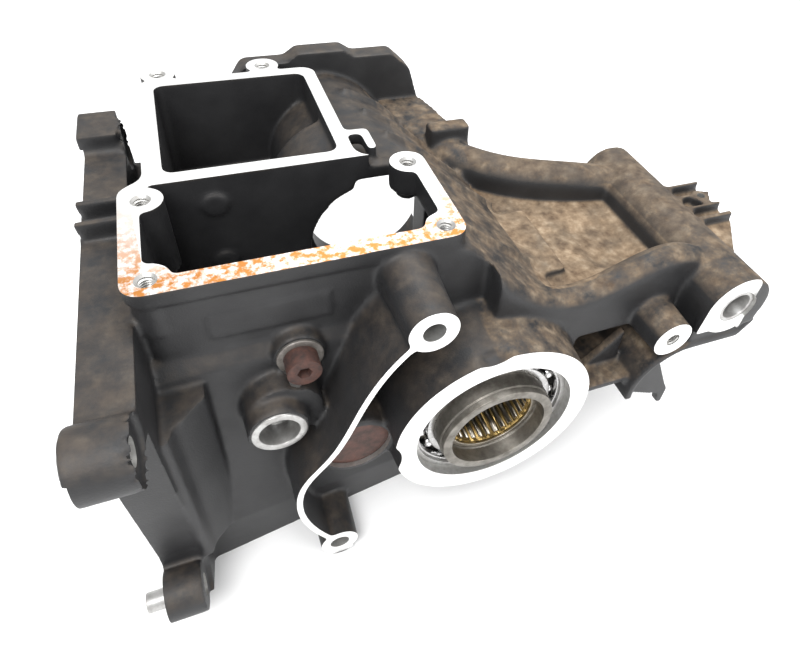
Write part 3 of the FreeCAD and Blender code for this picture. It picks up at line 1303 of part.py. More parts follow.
def needle_pieces():
    """The drawn cup needle bearing in the bore of the sleeve."""
    far = "needle_depth + needle_width"
    shell = turned("needle_bearing_shell", [
        ("sleeve_bore", "needle_depth"),
        ("sleeve_bore", far),
        ("sleeve_bore - 2 * needle_shell", far),
        ("sleeve_bore - 2 * needle_shell", f"{far} - needle_shell"),
        ("sleeve_bore - needle_shell", f"{far} - needle_shell"),
        ("sleeve_bore - needle_shell", "needle_depth + needle_shell"),
        ("sleeve_bore - 2 * needle_shell", "needle_depth + needle_shell"),
        ("sleeve_bore - 2 * needle_shell", "needle_depth"),
    ])
    start = "needle_depth + needle_shell + needle_end_play"
    length = "needle_width - 2 * needle_shell - 2 * needle_end_play"
    blank = tube("needle_cage_blank", f"{NEEDLE_PITCH} - needle_cage_thick / 2",
                 f"{NEEDLE_PITCH} + needle_cage_thick / 2", start, f"{start} + {length}")
    slots = []
    rollers = []
    for i in range(int(size.needle_count)):
        place = around(NEEDLE_PITCH, i, "needle_count")
        slots.append(rod(f"needle_slot_{i}", "Y", place, f"{start} + needle_bar",
                         f"{length} - 2 * needle_bar",
                         "needle_radius + needle_play"))
        rollers.append(rod(f"needle_{i}", "Y", place, f"{start} + needle_bar + needle_play",
                           f"{length} - 2 * needle_bar - 2 * needle_play",
                           "needle_radius"))
    cage = cut("needle_cage", blank, group("needle_slots", slots))
    return [shell, cage, group("needle_rollers", rollers)]


def fitting_pieces():
    """Plug, screw, washer, port ring, dowel and pivot bushings."""
    plug_front = "plug_face + plug_depth"
    plug = turned("expansion_plug", [
        ("0", f"{plug_front} + plug_dish"),
        ("plug_radius - plug_ledge", f"{plug_front}"),
        ("plug_radius", f"{plug_front}"),
        ("plug_radius", f"{plug_front} + plug_thick"),
        ("plug_radius - plug_ledge", f"{plug_front} + plug_thick"),
        ("0", f"{plug_front} + plug_thick + plug_dish"),
    ], ("plug_x", "plug_z"))
    head = "screw_seat - washer_thick"
    blank = turned("screw_blank", [
        ("0", f"{head} - screw_head_height"),
        ("screw_head_radius", f"{head} - screw_head_height"),
        ("screw_head_radius", head),
        ("screw_shank_radius", head),
        ("screw_shank_radius", f"{head} + screw_shank_length"),
        ("0", f"{head} + screw_shank_length"),
    ], ("screw_x", "screw_z"))
    socket = doc.addObject("Part::Prism", "screw_socket_cut")
    socket.Polygon = 6
    socket.Placement = Placement(Vector(), TURNED["Y"])
    bind(socket, "Circumradius", "screw_socket")
    bind(socket, "Height", "socket_depth")
    bind(socket, "Placement.Base.x", "screw_x")
    bind(socket, "Placement.Base.y", f"{head} - screw_head_height - 1")
    bind(socket, "Placement.Base.z", "screw_z")
    screw = cut("socket_head_screw", blank, socket)
    washer = tube("screw_sealing_washer", "screw_shank_radius", "washer_radius",
                  head, "screw_seat", ("screw_x", "screw_z"))
    port = tube("port_bushing", "port_bore", "port_ring", "port_face - port_proud",
                "port_face - port_proud + port_ring_length", ("port_x", "port_z"))
    near = tube("pivot_bushing_left", "bushing_bore", "pivot_bore", "0", "bushing_length",
                ("pivot_x", "pivot_z"))
    far = tube("pivot_bushing_right", "bushing_bore", "pivot_bore",
               "pivot_length - bushing_length", "pivot_length", ("pivot_x", "pivot_z"))
    place = ("foot_left", "foot_height")
    dowel = cut("front_dowel",
                fuse("dowel_blank", [
                    rod("dowel_nose", "X", place, "engine_face - dowel_proud",
                        "dowel_proud + overlap", "dowel_nose"),
                    rod("dowel_body", "X", place, "engine_face", "dowel_length - dowel_proud",
                        "foot_hole"),
                ]),
                rod("dowel_bore", "X", place, "engine_face - dowel_proud - 1", "dowel_length + 2",
                    "foot_hole - dowel_wall"))
    return [plug, screw, washer, port, near, far, dowel]


# ---------------------------------------------------------------- build, check and export

pieces = [housing(), drive_gear()] + bearing_pieces() + needle_pieces() + fitting_pieces()
doc.recompute()

for item in doc.Objects:
    if "Invalid" in item.State or "Error" in item.State:
        raise RuntimeError(f"{item.Name} failed: {item.State}")
for piece in pieces:
    if piece.Shape.isNull() or not piece.Shape.isValid():
        raise RuntimeError(f"{piece.Label} has no valid shape")

os.makedirs("parts", exist_ok=True)
for piece in pieces:
    piece.Shape.exportStep(f"parts/{piece.Label}.step")
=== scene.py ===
"""Looks of the gearbox housing: the cast body with its milled faces, the open output bearing
with its drive sleeve, and the fittings in the left wall. Lengths in the calls are millimetres."""
import json
import math

import bmesh
import bpy
import numpy as np
from mathutils import Euler, Matrix, Vector


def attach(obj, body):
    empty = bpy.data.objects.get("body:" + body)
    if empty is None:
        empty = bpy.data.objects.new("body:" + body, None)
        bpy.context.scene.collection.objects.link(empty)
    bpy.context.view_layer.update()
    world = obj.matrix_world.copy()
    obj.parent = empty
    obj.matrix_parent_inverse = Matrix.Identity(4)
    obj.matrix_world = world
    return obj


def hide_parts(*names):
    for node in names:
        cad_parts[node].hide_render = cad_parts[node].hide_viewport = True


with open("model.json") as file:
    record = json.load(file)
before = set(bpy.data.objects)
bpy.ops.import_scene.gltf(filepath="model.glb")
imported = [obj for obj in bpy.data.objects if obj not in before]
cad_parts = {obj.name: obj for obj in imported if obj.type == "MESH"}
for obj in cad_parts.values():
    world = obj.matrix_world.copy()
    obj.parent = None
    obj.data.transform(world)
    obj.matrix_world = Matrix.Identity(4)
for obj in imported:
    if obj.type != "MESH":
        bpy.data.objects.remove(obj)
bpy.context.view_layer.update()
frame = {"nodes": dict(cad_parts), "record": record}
MM = 0.001
NODE = frame["nodes"]
MOUNT = {mount["name"]: mount for mount in frame["record"]["mounts"]}
BODY = {node: body for body, nodes in frame["record"]["behaviour"]["bodies"].items()
        for node in nodes}
TURN = {"X": Euler((0, math.pi / 2, 0)), "Y": Euler((-math.pi / 2, 0, 0)), "Z": Euler((0, 0, 0))}
AXIS = {"X": Vector((1, 0, 0)), "Y": Vector((0, 1, 0)), "Z": Vector((0, 0, 1))}
THREAD_ROOT = 0.35   # how far a thread's root lies inside the wall of its hole
THREAD_CREST = 0.525  # height of a thread's crest, as a share of its pitch


# ------------------------------------------------------------------ workbench

def only(piece):
    """Selects one piece and nothing else."""
    if bpy.context.mode != "OBJECT":
        bpy.ops.object.mode_set(mode="OBJECT")
    bpy.ops.object.select_all(action="DESELECT")
    piece.select_set(True)
    bpy.context.view_layer.objects.active = piece
    return piece


def settle(piece, name=None):
    """Puts a piece's place into its mesh."""
    only(piece)
    bpy.ops.object.transform_apply(location=True, rotation=True, scale=True)
    if name:
        piece.name = name
        piece.data.name = name
    return piece


def modify(piece, kind, **settings):
    """Adds one modifier and applies it."""
    only(piece)
    modifier = piece.modifiers.new(kind, kind)
    for key, value in settings.items():
        setattr(modifier, key, value)
    bpy.ops.object.modifier_apply(modifier=modifier.name)
    return piece


def join(pieces, name):
    """Several pieces become one object."""
    only(pieces[0])
    for piece in pieces[1:]:
        piece.select_set(True)
    bpy.ops.object.join()
    pieces[0].name = name
    pieces[0].data.name = name
    return pieces[0]


def copy_of(node, name):
    """A welded copy of a CAD node's mesh."""
    data = NODE[node].data.copy()
    data.name = name
    piece = bpy.data.objects.new(name, data)
    bpy.context.scene.collection.objects.link(piece)
    data.materials.clear()
    only(piece)
    bpy.ops.object.mode_set(mode="EDIT")
    bpy.ops.mesh.select_all(action="SELECT")
    bpy.ops.mesh.remove_doubles(threshold=1e-6)
    bpy.ops.object.mode_set(mode="OBJECT")
    return piece


def bar(name, axis, centre, start, end, radius, end_radius=None, sides=64):
    """A round bar or cone along an axis; centre holds the two places across it."""
    place = {"X": (0, centre[0], centre[1]), "Y": (centre[0], 0, centre[1]),
             "Z": (centre[0], centre[1], 0)}[axis]
    middle = (Vector(place) + AXIS[axis] * ((start + end) / 2)) * MM
    bpy.ops.mesh.primitive_cone_add(
        vertices=sides, radius1=radius * MM,
        radius2=(radius if end_radius is None else end_radius) * MM,
        depth=(end - start) * MM, location=middle, rotation=TURN[axis])
    return settle(bpy.context.object, name)


def block(name, low, high):
    """A box between two corners."""
    low, high = Vector(low) * MM, Vector(high) * MM
    bpy.ops.mesh.primitive_cube_add(size=1, location=(low + high) / 2)
    bpy.context.object.scale = high - low
    return settle(bpy.context.object, name)


def corners(name, axis, start, end, points):
    """A prism along an axis with the given outline across it."""
    order = {"X": lambda a, b, t: (t, a, b), "Y": lambda a, b, t: (a, t, b),
             "Z": lambda a, b, t: (a, b, t)}[axis]
    bpy.ops.mesh.primitive_circle_add(vertices=len(points), radius=MM, fill_type="NGON")
    piece = bpy.context.object
    for vertex, (a, b) in zip(piece.data.vertices, points):
        vertex.co = Vector(order(a, b, start)) * MM
    bpy.ops.object.mode_set(mode="EDIT")
    bpy.ops.mesh.select_all(action="SELECT")
    bpy.ops.mesh.extrude_region_move(
        TRANSFORM_OT_translate={"value": AXIS[axis] * ((end - start) * MM)})
    bpy.ops.mesh.select_all(action="SELECT")
    bpy.ops.mesh.normals_make_consistent(inside=False)
    bpy.ops.object.mode_set(mode="OBJECT")
    return settle(piece, name)


def helix(name, axis, centre, mouth, depth, radius, pitch, turns):
    """The crests of a cut thread: a small tooth wound up from the bottom of its hole."""
    tooth = ((radius + THREAD_ROOT, 0.5), (radius - THREAD_CREST * pitch, 0),
             (radius + THREAD_ROOT, -0.5))
    bpy.ops.mesh.primitive_circle_add(vertices=3, radius=pitch * 0.5 * MM, fill_type="NOTHING",
                                      rotation=(math.pi / 2, 0, 0))
    piece = bpy.context.object
    for vertex, (x, z) in zip(piece.data.vertices, tooth):
        vertex.co = (x * MM, z * pitch * MM, 0)
    settle(piece)
    modify(piece, "SCREW", axis="Z", angle=2 * math.pi, screw_offset=pitch * MM,
           iterations=turns, steps=28, render_steps=28, use_smooth_shade=False)
    only(piece)
    bpy.ops.object.mode_set(mode="EDIT")
    bpy.ops.mesh.select_all(action="SELECT")
    bpy.ops.mesh.edge_face_add()
    bpy.ops.mesh.select_all(action="SELECT")
    bpy.ops.mesh.normals_make_consistent(inside=False)
    bpy.ops.object.mode_set(mode="OBJECT")
    piece.rotation_euler = TURN[axis]
    start = mouth - depth if axis == "Z" else mouth
    piece.location = Vector({"X": (start, centre[0], centre[1]), "Y": (centre[0], start, centre[1]),
                             "Z": (centre[0], centre[1], start)}[axis]) * MM
    return settle(piece, name)


def smooth_shade(piece, degrees=32):
    only(piece)
    bpy.ops.object.shade_smooth_by_angle(angle=math.radians(degrees))
    return piece


def hang(piece, material, *nodes, slot=None, body=None, degrees=32):
    """Paints a finished piece, hangs it on its body and hides the CAD nodes it stands for."""
    smooth_shade(piece, degrees)
    if material is not None:
        piece.data.materials.clear()
        piece.data.materials.append(material)
    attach(piece, body or BODY[nodes[0]])
    if nodes:
        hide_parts(*nodes)
    return piece


# ------------------------------------------------------------------ materials

def new_material(name, colour, metallic, roughness, specular=0.5):
    material = bpy.data.materials.new(name)
    material.use_nodes = True
    shader = material.node_tree.nodes["Principled BSDF"]
    shader.inputs["Base Color"].default_value = (*colour, 1)
    shader.inputs["Metallic"].default_value = metallic
    shader.inputs["Roughness"].default_value = roughness
    shader.inputs["Specular IOR Level"].default_value = specular
    return material, material.node_tree, shader


def noise(tree, scale, detail=4.0, stretch=(1, 1, 1), roughness=0.55):
    """A noise pattern over the object, scale in features per metre."""
    place = tree.nodes.new("ShaderNodeTexCoord")
    mapping = tree.nodes.new("ShaderNodeMapping")
    mapping.inputs["Scale"].default_value = stretch
    pattern = tree.nodes.new("ShaderNodeTexNoise")
    pattern.inputs["Scale"].default_value = scale
    pattern.inputs["Detail"].default_value = detail
    pattern.inputs["Roughness"].default_value = roughness
    tree.links.new(place.outputs["Object"], mapping.inputs["Vector"])
    tree.links.new(mapping.outputs["Vector"], pattern.inputs["Vector"])
    return pattern.outputs["Fac"]


def ramp(tree, factor, stops):
    """Colours or values along a factor."""
    item = tree.nodes.new("ShaderNodeValToRGB")
    item.color_ramp.elements[0].position = stops[0][0]
    item.color_ramp.elements[1].position = stops[-1][0]
    for position, colour in stops[1:-1]:
        item.color_ramp.elements.new(position)
    for element, (position, colour) in zip(item.color_ramp.elements, stops):
        element.color = (*colour, 1) if isinstance(colour, tuple) else (colour, colour, colour, 1)
    tree.links.new(factor, item.inputs["Fac"])
    return item.outputs["Color"]


def mix(tree, factor, first, second):
    """A colour mix; first and second are sockets or colours."""
    item = tree.nodes.new("ShaderNodeMix")
    item.data_type = "RGBA"
    if isinstance(factor, float):
        item.inputs[0].default_value = factor
    else:
        tree.links.new(factor, item.inputs[0])
    for index, value in ((6, first), (7, second)):
        if isinstance(value, tuple):
            item.inputs[index].default_value = (*value, 1)
        else:
            tree.links.new(value, item.inputs[index])
    return item.outputs[2]


def times(tree, first, second, operation="MULTIPLY"):
    item = tree.nodes.new("ShaderNodeMath")
    item.operation = operation
    item.use_clamp = True
    for socket, value in zip(item.inputs, (first, second)):
        if isinstance(value, (int, float)):
            socket.default_value = value
        else:
            tree.links.new(value, socket)
    return item.outputs[0]


def bump(tree, shader, height, strength, distance):
    item = tree.nodes.new("ShaderNodeBump")
    item.inputs["Strength"].default_value = strength
    item.inputs["Distance"].default_value = distance
    tree.links.new(height, item.inputs["Height"])
    tree.links.new(item.outputs["Normal"], shader.inputs["Normal"])


def painted(tree, name):
    """A mask painted on the piece's points."""
    item = tree.nodes.new("ShaderNodeAttribute")
    item.attribute_name = name
    return item.outputs["Fac"]


def coated_casting():
    """Black wrinkle coat with road dust lying in its hollows."""
    material, tree, shader = new_material("black_coat", (0.02, 0.02, 0.021), 0.0, 0.55, 0.42)
    cloud = noise(tree, 55, 3)
    coat = ramp(tree, cloud, [(0.3, (0.0125, 0.0125, 0.0135)), (0.7, (0.021, 0.021, 0.022))])
    dust_cloud = ramp(tree, noise(tree, 75, 6, roughness=0.68), [(0.36, 0.0), (0.62, 1.0)])
    dust = times(tree, painted(tree, "dust"), dust_cloud)
    heavy = times(tree, painted(tree, "heavy_dust"),
                  ramp(tree, noise(tree, 48, 5), [(0.28, 0.35), (0.6, 1.0)]))
    film = times(tree, times(tree, dust, 0.55), heavy, "MAXIMUM")
    earth = ramp(tree, noise(tree, 160, 4), [(0.3, (0.115, 0.075, 0.045)),
                                             (0.55, (0.25, 0.18, 0.115)),
                                             (0.8, (0.42, 0.33, 0.23))])
    tree.links.new(mix(tree, film, coat, earth), shader.inputs["Base Color"])
    tree.links.new(ramp(tree, film, [(0.0, 0.5), (0.6, 0.92)]), shader.inputs["Roughness"])
    bump(tree, shader, noise(tree, 1100, 3, roughness=0.6), 0.32, 0.0004)
    return material


def milled_aluminium():
    """Bare milled aluminium with faint stains."""
    material, tree, shader = new_material("milled_aluminium", (0.86, 0.86, 0.85), 0.75, 0.36)
    stain = times(tree, painted(tree, "stain"),
                  ramp(tree, noise(tree, 210, 5, roughness=0.7), [(0.4, 0.0), (0.56, 1.0)]))
    metal = ramp(tree, noise(tree, 26, 4), [(0.3, (0.80, 0.80, 0.79)), (0.7, (0.92, 0.92, 0.91))])
    speck = ramp(tree, noise(tree, 900, 2), [(0.24, 0.0), (0.3, 1.0)])
    clean = mix(tree, speck, (0.42, 0.4, 0.37), metal)
    tree.links.new(mix(tree, stain, clean, (0.55, 0.22, 0.05)), shader.inputs["Base Color"])
    tree.links.new(ramp(tree, noise(tree, 120, 3, stretch=(1, 6, 1)), [(0.3, 0.3), (0.7, 0.44)]),
                   shader.inputs["Roughness"])
    bump(tree, shader, noise(tree, 700, 2, stretch=(1, 9, 1)), 0.06, 0.0002)
    return material


def worn_metal(name, light, dark, metallic, roughness, scale=180, bite=0.25, specular=0.5):
    """A metal with two tones in patches and a fine grain."""
    material, tree, shader = new_material(name, light, metallic, roughness, specular)
    patches = noise(tree, scale, 5, roughness=0.65)
    tree.links.new(ramp(tree, patches, [(0.34, dark), (0.66, light)]), shader.inputs["Base Color"])
    tree.links.new(ramp(tree, patches, [(0.3, min(1.0, roughness + 0.15)), (0.7, roughness)]),
                   shader.inputs["Roughness"])
    bump(tree, shader, noise(tree, scale * 7, 2), bite, 0.0002)
    return material


COAT = coated_casting()
MILLED = milled_aluminium()
BORE = worn_metal("bored_aluminium", (0.60, 0.60, 0.59), (0.42, 0.41, 0.39), 0.85, 0.34, 220, 0.1)
RACE = worn_metal("ground_race", (0.55, 0.55, 0.55), (0.40, 0.39, 0.38), 1.0, 0.22, 120, 0.04)
BALL = worn_metal("polished_ball", (0.82, 0.82, 0.82), (0.7, 0.7, 0.7), 1.0, 0.08, 60, 0.0)
GEAR = worn_metal("oiled_gear", (0.25, 0.235, 0.21), (0.12, 0.11, 0.095), 1.0, 0.33, 150, 0.08)
NEEDLE = worn_metal("needle_steel", (0.50, 0.47, 0.42), (0.30, 0.27, 0.22), 1.0, 0.26, 240, 0.05)
BRASS = worn_metal("oil_varnish", (0.50, 0.36, 0.14), (0.26, 0.17, 0.06), 0.9, 0.33, 130, 0.06)
RUST = worn_metal("rusted_steel", (0.085, 0.036, 0.026), (0.032, 0.02, 0.018), 0.15, 0.62, 260, 0.5)
RUST_SHEET = worn_metal("rusted_plug", (0.105, 0.042, 0.030), (0.045, 0.027, 0.022), 0.2, 0.5,
                        150, 0.4)
ZINC = worn_metal("zinc_plate", (0.50, 0.50, 0.49), (0.33, 0.32, 0.31), 0.9, 0.36, 200, 0.12)
DULL = worn_metal("dull_washer", (0.30, 0.28, 0.26), (0.17, 0.155, 0.14), 0.8, 0.45, 200, 0.2)


# ------------------------------------------------------------------ the casting

def points_of(piece):
    """A piece's points in millimetres."""
    points = np.empty(len(piece.data.vertices) * 3, np.float32)
    piece.data.vertices.foreach_get("co", points)
    return points.reshape(-1, 3) / MM


def put_points(piece, points):
    piece.data.vertices.foreach_set("co", (points * MM).astype(np.float32).ravel())
    piece.data.update()


def raise_face(piece, axis, place, by, low=(-999,) * 3, high=(999,) * 3):
    """Moves the points of a milled face outwards, so that it can be milled back crisp."""
    points = points_of(piece)
    chosen = np.abs(points[:, "XYZ".index(axis)] - place) < 0.02
    chosen &= (points > np.array(low)).all(1) & (points < np.array(high)).all(1)
    points[chosen, "XYZ".index(axis)] += by
    put_points(piece, points)


def mount_places(name):
    """Hole centres of a mount, in millimetres."""
    mount = MOUNT[name]
    middle = Vector(mount["pos_m"]) / MM
    dims = mount["dims"]
    if mount["kind"] != "bolt_pattern":
        return [middle]
    if "pcd_mm" in dims:
        count = int(dims["count"])
        turns = [2 * math.pi * (i + 0.5) / count for i in range(count)]
        return [middle + Vector((math.cos(a), 0, math.sin(a))) * (dims["pcd_mm"] / 2)
                for a in turns]
    first, second = ((AXIS["X"], AXIS["Y"]) if abs(mount["axis"][2]) > 0.5
                     else (AXIS["Y"], AXIS["Z"]))
    u = dims.get("spacing_x_mm", 0) / 2
    v = dims.get("spacing_y_mm", 0) / 2
    steps = [(-u, -v), (u, -v), (u, v), (-u, v)] if v else [(-u, 0), (u, 0)]
    return [middle + first * a + second * b for a, b in steps]


# the housing's milled faces and bored places, in millimetres
DECK = 105.5                 # cover face, along Z
PAN = -88.0                  # oil pan face, along Z
ENGINE = -177.7              # engine face, along X
DOOR = 254.0                 # side door face, along Y
LUG_BACK = -159.7            # back of the engine plate, along X
PORT = (-109.6, 29.0)        # X and Z of the filler port
PRESSED_PLUG = (-73.0, -5.5)
PIVOT = (142.2, 48.0)
DETENT = (-94.0, 56.0)
BRACKET = (171.0, 77.0)      # X and Y of the bracket's hole
STOCK = 2.0                  # metal left on a face until it is milled
SKIM = 9.0                   # how far a face cutter stands proud
VOXEL = 1.25                 # grain of the remeshed casting
CAST_TRIANGLES = 150000
COVER_HOLE = 3.4
COVER_DEPTH = 20
DOOR_HOLE = 2.6
DOOR_DEPTH = 16
HOLES = mount_places("cover_bolts") + mount_places("cover_bolts_right")
DOOR_HOLES = mount_places("door_bolts")
# engine bolt holes: Y, Z and radius
LUGS = [(-17.6, 85.2, 5.6), (188.8, 85.2, 5.6), (-6.6, -58.0, 5.6), (180.0, -58.0, 5.6)]
# thread bosses in the left wall: X, Z and radius
BOSSES = [(-41.0, 87.9, 5.4), (-88.6, -76.3, 5.4), (104.4, 33.0, 4.2)]


def rough_casting():
    """The CAD casting with its milled faces raised and its bores plugged, remeshed and smoothed
    as a sand casting is."""
    body = copy_of("gearbox_housing", "housing_casting")
    raise_face(body, "Z", DECK, STOCK)
    raise_face(body, "Y", 0.0, -STOCK, (-160, -1, -90), (175, 1, 110))
    raise_face(body, "Z", PAN, -STOCK)
    raise_face(body, "X", ENGINE, -STOCK)
    raise_face(body, "Y", DOOR, STOCK)
    plugs = [
        bar("plug", "Y", (0, 0), -STOCK, 30, 50.5),
        bar("plug", "Y", PORT, 12.5, 36, 14.0),
        bar("plug", "Y", PRESSED_PLUG, 14.0, 26, 20.0),
        bar("plug", "Y", PIVOT, -STOCK, 142, 15.5),
        bar("plug", "Y", DETENT, 32.0, 50, 7.0),
        bar("plug", "Z", BRACKET, 50.5, 65, 4.6, sides=24),
    ]
    plugs += [bar("plug", "Z", (hole.x, hole.y), DECK - COVER_DEPTH - 1, DECK + STOCK, 6.4, sides=24)
              for hole in HOLES]
    plugs += [bar("plug", "Y", (hole.x, hole.z), DOOR - DOOR_DEPTH - 1, DOOR + STOCK, 4.4, sides=24)
              for hole in DOOR_HOLES]
    plugs += [bar("plug", "X", (y, z), ENGINE - STOCK, LUG_BACK, radius + 2, sides=32)
              for y, z, radius in LUGS]
    plugs += [bar("plug", "Y", (x, z), -STOCK, 26, radius + 2.5, sides=32) for x, z, radius in BOSSES]
    body = join([body] + plugs, "housing_casting")
    modify(body, "REMESH", mode="VOXEL", voxel_size=VOXEL * MM, adaptivity=0.0)
    modify(body, "SMOOTH", factor=0.5, iterations=5)
    return body


def soften(body):
    """Melts the creases of the arch, the arms and the basin, and leaves thin fins alone."""
    points = points_of(body)
    x, y, z = points.T
    soft = (x > -60) & (x < 150) & (y > 14) & (y < 215) & (z > 40)
    soft &= ~((x > 125) & (y > 50) & (y < 100))
    group = body.vertex_groups.new(name="soft")
    group.add(np.nonzero(soft)[0].tolist(), 1.0, "REPLACE")
    modify(body, "SMOOTH", factor=0.6, iterations=14, vertex_group="soft")


def face_cutters():
    """Boxes and discs that mill the casting's flat faces."""
    return [
        corners("mill", "Z", DECK, DECK + SKIM, [
            (-175, 30), (-5, 30), (-5, 118), (-28, 118), (-28, 226), (-58, 226), (-58, 248),
            (-175, 248)]),
        block("mill", (-150, -SKIM, -84), (150, 0, 108)),
        block("mill", (-200, 0.5, PAN - SKIM), (100, 260, PAN)),
        block("mill", (ENGINE - SKIM, -40, -84), (ENGINE, 215, 92)),
        block("mill", (-120, DOOR, -84), (60, DOOR + SKIM, 115)),
    ]


def bore_cutters():
    """Everything that is drilled, reamed or turned."""
    cutters = [
        bar("bore", "Y", PORT, 5, 23.5, 13.0),
        bar("bore", "Y", PORT, 20, 44, 10.2),
        bar("bore", "Y", PRESSED_PLUG, 5, 18.5, 18.0, sides=96),
        bar("bore", "Y", PIVOT, -SKIM, 149, 11.0),
        bar("bore", "Y", DETENT, 20, 32, 11.5),
        bar("bore", "Y", DETENT, 30, 60, 5.0),
        bar("bore", "Z", BRACKET, 40, 72, 2.6, sides=32),
    ]
    cutters += [bar("bore", "Z", (hole.x, hole.y), DECK - COVER_DEPTH, DECK + 1, COVER_HOLE, sides=48)
                for hole in HOLES]
    cutters += [bar("bore", "Z", (hole.x, hole.y), DECK - 1.5, DECK + 0.5, 3.1, 5.1, sides=48)
                for hole in HOLES]
    cutters += [bar("bore", "Y", (hole.x, hole.z), DOOR - DOOR_DEPTH, DOOR + 1, DOOR_HOLE, sides=32)
                for hole in DOOR_HOLES]
    cutters += [bar("bore", "X", (y, z), ENGINE - 3, LUG_BACK + 3, radius, sides=48)
                for y, z, radius in LUGS]
    cutters += [bar("bore", "Y", (x, z), -3, 24, radius, sides=48) for x, z, radius in BOSSES]
    return cutters


def hub_cutter():
    """The stepped bore of the output hub: bearing seat, clip groove, shoulder and gear room."""
    seat, groove, shoulder, room = 45, 46.6, 41.5, 48.5
    outline = [(0, -6), (46.2, -6), (seat, 0.6), (seat, 6.1), (groove, 6.1), (groove, 8.1),
               (seat, 8.1), (seat, 21), (shoulder, 21), (shoulder, 25.5), (room, 25.5),
               (room, 43), (0, 43)]
    bpy.ops.mesh.primitive_circle_add(vertices=len(outline), radius=MM)
    piece = bpy.context.object
    for vertex, (radius, depth) in zip(piece.data.vertices, outline):
        vertex.co = (radius * MM, depth * MM, 0)
    only(piece)
    bpy.ops.object.mode_set(mode="EDIT")
    bpy.ops.mesh.select_all(action="SELECT")
    bpy.ops.mesh.spin(steps=144, angle=2 * math.pi, center=(0, 0, 0), axis=(0, 1, 0))
    bpy.ops.mesh.select_all(action="SELECT")
    bpy.ops.mesh.remove_doubles(threshold=1e-6)
    bpy.ops.mesh.delete_loose()
    bpy.ops.mesh.select_all(action="SELECT")
    bpy.ops.mesh.normals_make_consistent(inside=False)
    bpy.ops.object.mode_set(mode="OBJECT")
    return settle(piece, "bore")


def mill(body, cutters, material):
    """Cuts with painted cutters: the cut faces keep the cutter's finish."""
    tool = join(cutters, "tool")
    tool.data.materials.clear()
    tool.data.materials.append(material)
    modify(body, "BOOLEAN", operation="DIFFERENCE", solver="EXACT", object=tool,
           material_mode="TRANSFER", use_self=True)
    bpy.data.objects.remove(tool)
    return body


def cast_housing():
    body = rough_casting()
    soften(body)
    modify(body, "DECIMATE", ratio=min(1.0, CAST_TRIANGLES / (2 * len(body.data.polygons))))
    body.data.materials.clear()
    body.data.materials.append(COAT)
    mill(body, face_cutters(), MILLED)
    mill(body, [hub_cutter()], BORE)
    mill(body, bore_cutters(), BORE)
    return body


def paint_masks(body):
    """Where dust lies and where bare metal is stained."""
    points = points_of(body)
    normals = np.empty(len(points) * 3, np.float32)
    body.data.vertices.foreach_get("normal", normals)
    up = normals.reshape(-1, 3)[:, 2]
    x, y, z = points.T
    basin = (x > 40) & (x < 180) & (y > 34) & (y < 160) & (z > 38)
    lying = np.clip((up - 0.35) * 2.2, 0, 1)
    dust = np.clip(0.28 * lying + 0.9 * lying * (x > -5) * (z < 100), 0, 1)
    heavy = np.where(basin, np.clip(lying * (0.45 + 0.55 * (z < 60)), 0, 1), 0)
    flange = (np.abs(z - DECK) < 1.5) & (y < 52)
    for name, values in (("dust", dust), ("heavy_dust", heavy), ("stain", flange.astype(float))):
        layer = body.data.attributes.new(name, "FLOAT", "POINT")
        layer.data.foreach_set("value", values.astype(np.float32))


housing = cast_housing()
paint_masks(housing)
hang(housing, None, "gearbox_housing", slot="casting", degrees=34)


# ------------------------------------------------------------------ fittings

def finished_copy(node, name, material, slot, edge=0.3):
    """A CAD piece with its edges broken."""
    piece = copy_of(node, name)
    if edge:
        modify(piece, "BEVEL", width=edge * MM, segments=2, limit_method="ANGLE",
               angle_limit=math.radians(40), harden_normals=False)
    return hang(piece, material, node, slot=slot, degrees=40)


finished_copy("main_drive_gear", "drive_gear_and_sleeve", GEAR, "gear_steel", 0.35)
finished_copy("main_bearing_outer_race", "bearing_outer_race", RACE, "bearing_steel", 0.5)
finished_copy("main_bearing_inner_race", "bearing_inner_race", RACE, "bearing_steel", 0.5)
finished_copy("main_bearing_cage", "ball_cage", GEAR, "cage_steel", 0)
finished_copy("main_bearing_balls", "bearing_balls", BALL, "bearing_steel", 0)
finished_copy("bearing_retaining_ring", "bearing_circlip", ZINC, "plated_steel", 0.2)
finished_copy("needle_bearing_shell", "needle_bearing_cup", NEEDLE, "needle_steel", 0.2)
finished_copy("needle_cage", "needle_bearing_cage", BRASS, "needle_steel", 0)
finished_copy("needle_rollers", "needle_bearing_rollers", NEEDLE, "needle_steel", 0)
finished_copy("expansion_plug", "pressed_plug", RUST_SHEET, "rusted_steel", 0.5)
finished_copy("socket_head_screw", "detent_screw", RUST, "rusted_steel", 0.6)
finished_copy("screw_sealing_washer", "detent_washer", DULL, "washer_metal", 0.3)
finished_copy("port_bushing", "filler_port_ring", ZINC, "plated_steel", 0.5)
finished_copy("pivot_bushing_left", "pivot_bushing_near", ZINC, "plated_steel", 0.5)
finished_copy("pivot_bushing_right", "pivot_bushing_far", ZINC, "plated_steel", 0.5)
finished_copy("front_dowel", "engine_dowel", ZINC, "plated_steel", 0.3)


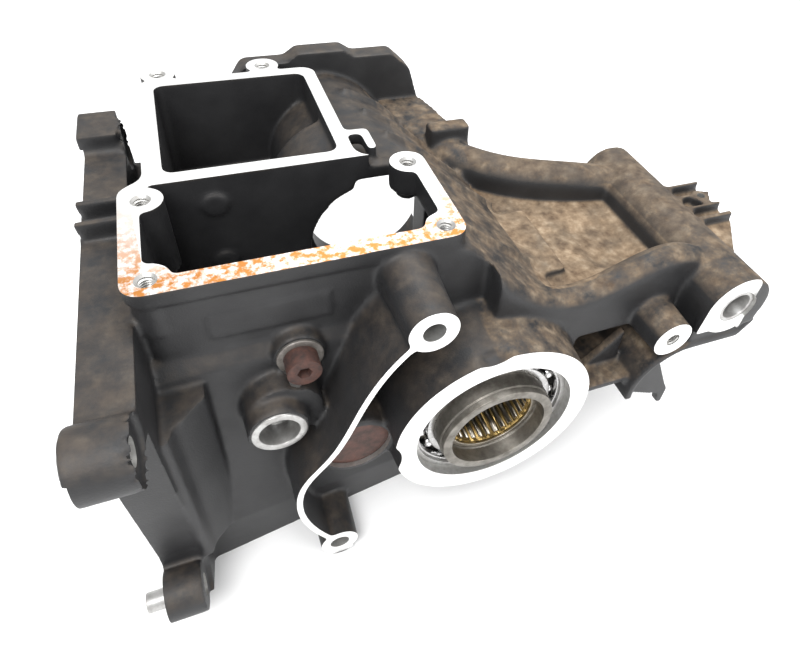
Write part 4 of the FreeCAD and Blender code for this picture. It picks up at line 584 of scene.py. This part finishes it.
def threads():
    """Cut threads in the cover holes and the rear boss."""
    crests = [helix("thread", "Z", (hole.x, hole.y), DECK, 14, COVER_HOLE, 1.25, 10) for hole in HOLES]
    crests.append(helix("thread", "Y", (104.4, 33.0), 1.0, 12, 4.2, 1.25, 10))
    piece = join(crests, "screw_threads")
    return hang(piece, BORE, body="housing", degrees=30)


threads()


# ------------------------------------------------------------------ stage, light and camera

def studio():
    """A pale floor under soft light."""
    bpy.ops.mesh.primitive_plane_add(size=6, location=(0, 0, PAN * MM))
    floor = settle(bpy.context.object, "studio_floor")
    material, _, _ = new_material("pale_floor", (0.93, 0.93, 0.93), 0.0, 0.85, 0.15)
    floor.data.materials.append(material)
    world = bpy.data.worlds.new("studio")
    bpy.context.scene.world = world
    world.use_nodes = True
    world.node_tree.nodes["Background"].inputs["Color"].default_value = (1, 1, 1, 1)
    world.node_tree.nodes["Background"].inputs["Strength"].default_value = 0.85
    for name, place, aim, size, power in (
            ("key", (-0.55, -0.55, 1.1), (0, 0.08, 0), 0.7, 16),
            ("top", (0.25, 0.45, 1.2), (0, 0.1, 0), 0.9, 13),
            ("front", (0.7, -1.0, 0.55), (0.02, 0.05, 0), 0.6, 7)):
        lamp = bpy.data.lights.new(name, "AREA")
        lamp.size = size
        lamp.energy = power
        holder = bpy.data.objects.new(name, lamp)
        holder.location = place
        holder.rotation_euler = (Vector(aim) - Vector(place)).to_track_quat("-Z", "Y").to_euler()
        bpy.context.scene.collection.objects.link(holder)


def camera():
    """A short lens close above the output side."""
    lens = bpy.data.cameras.new("camera")
    lens.sensor_width = 36
    lens.lens = 28.08
    lens.shift_x = -0.0591
    lens.shift_y = -0.0658
    lens.clip_start = 0.01
    holder = bpy.data.objects.new("camera", lens)
    right = Vector((0.9284, -0.3637, 0.0760)).normalized()
    up = Vector((0.1950, 0.6511, 0.7335)).normalized()
    back = right.cross(up)
    turn = Matrix((right, up, back)).transposed().to_4x4()
    holder.matrix_world = Matrix.Translation(Vector((-114.66, -161.1, 285.48)) * MM) @ turn
    bpy.context.scene.collection.objects.link(holder)
    bpy.context.scene.camera = holder


studio()
camera()
bpy.context.scene.view_settings.view_transform = "Standard"
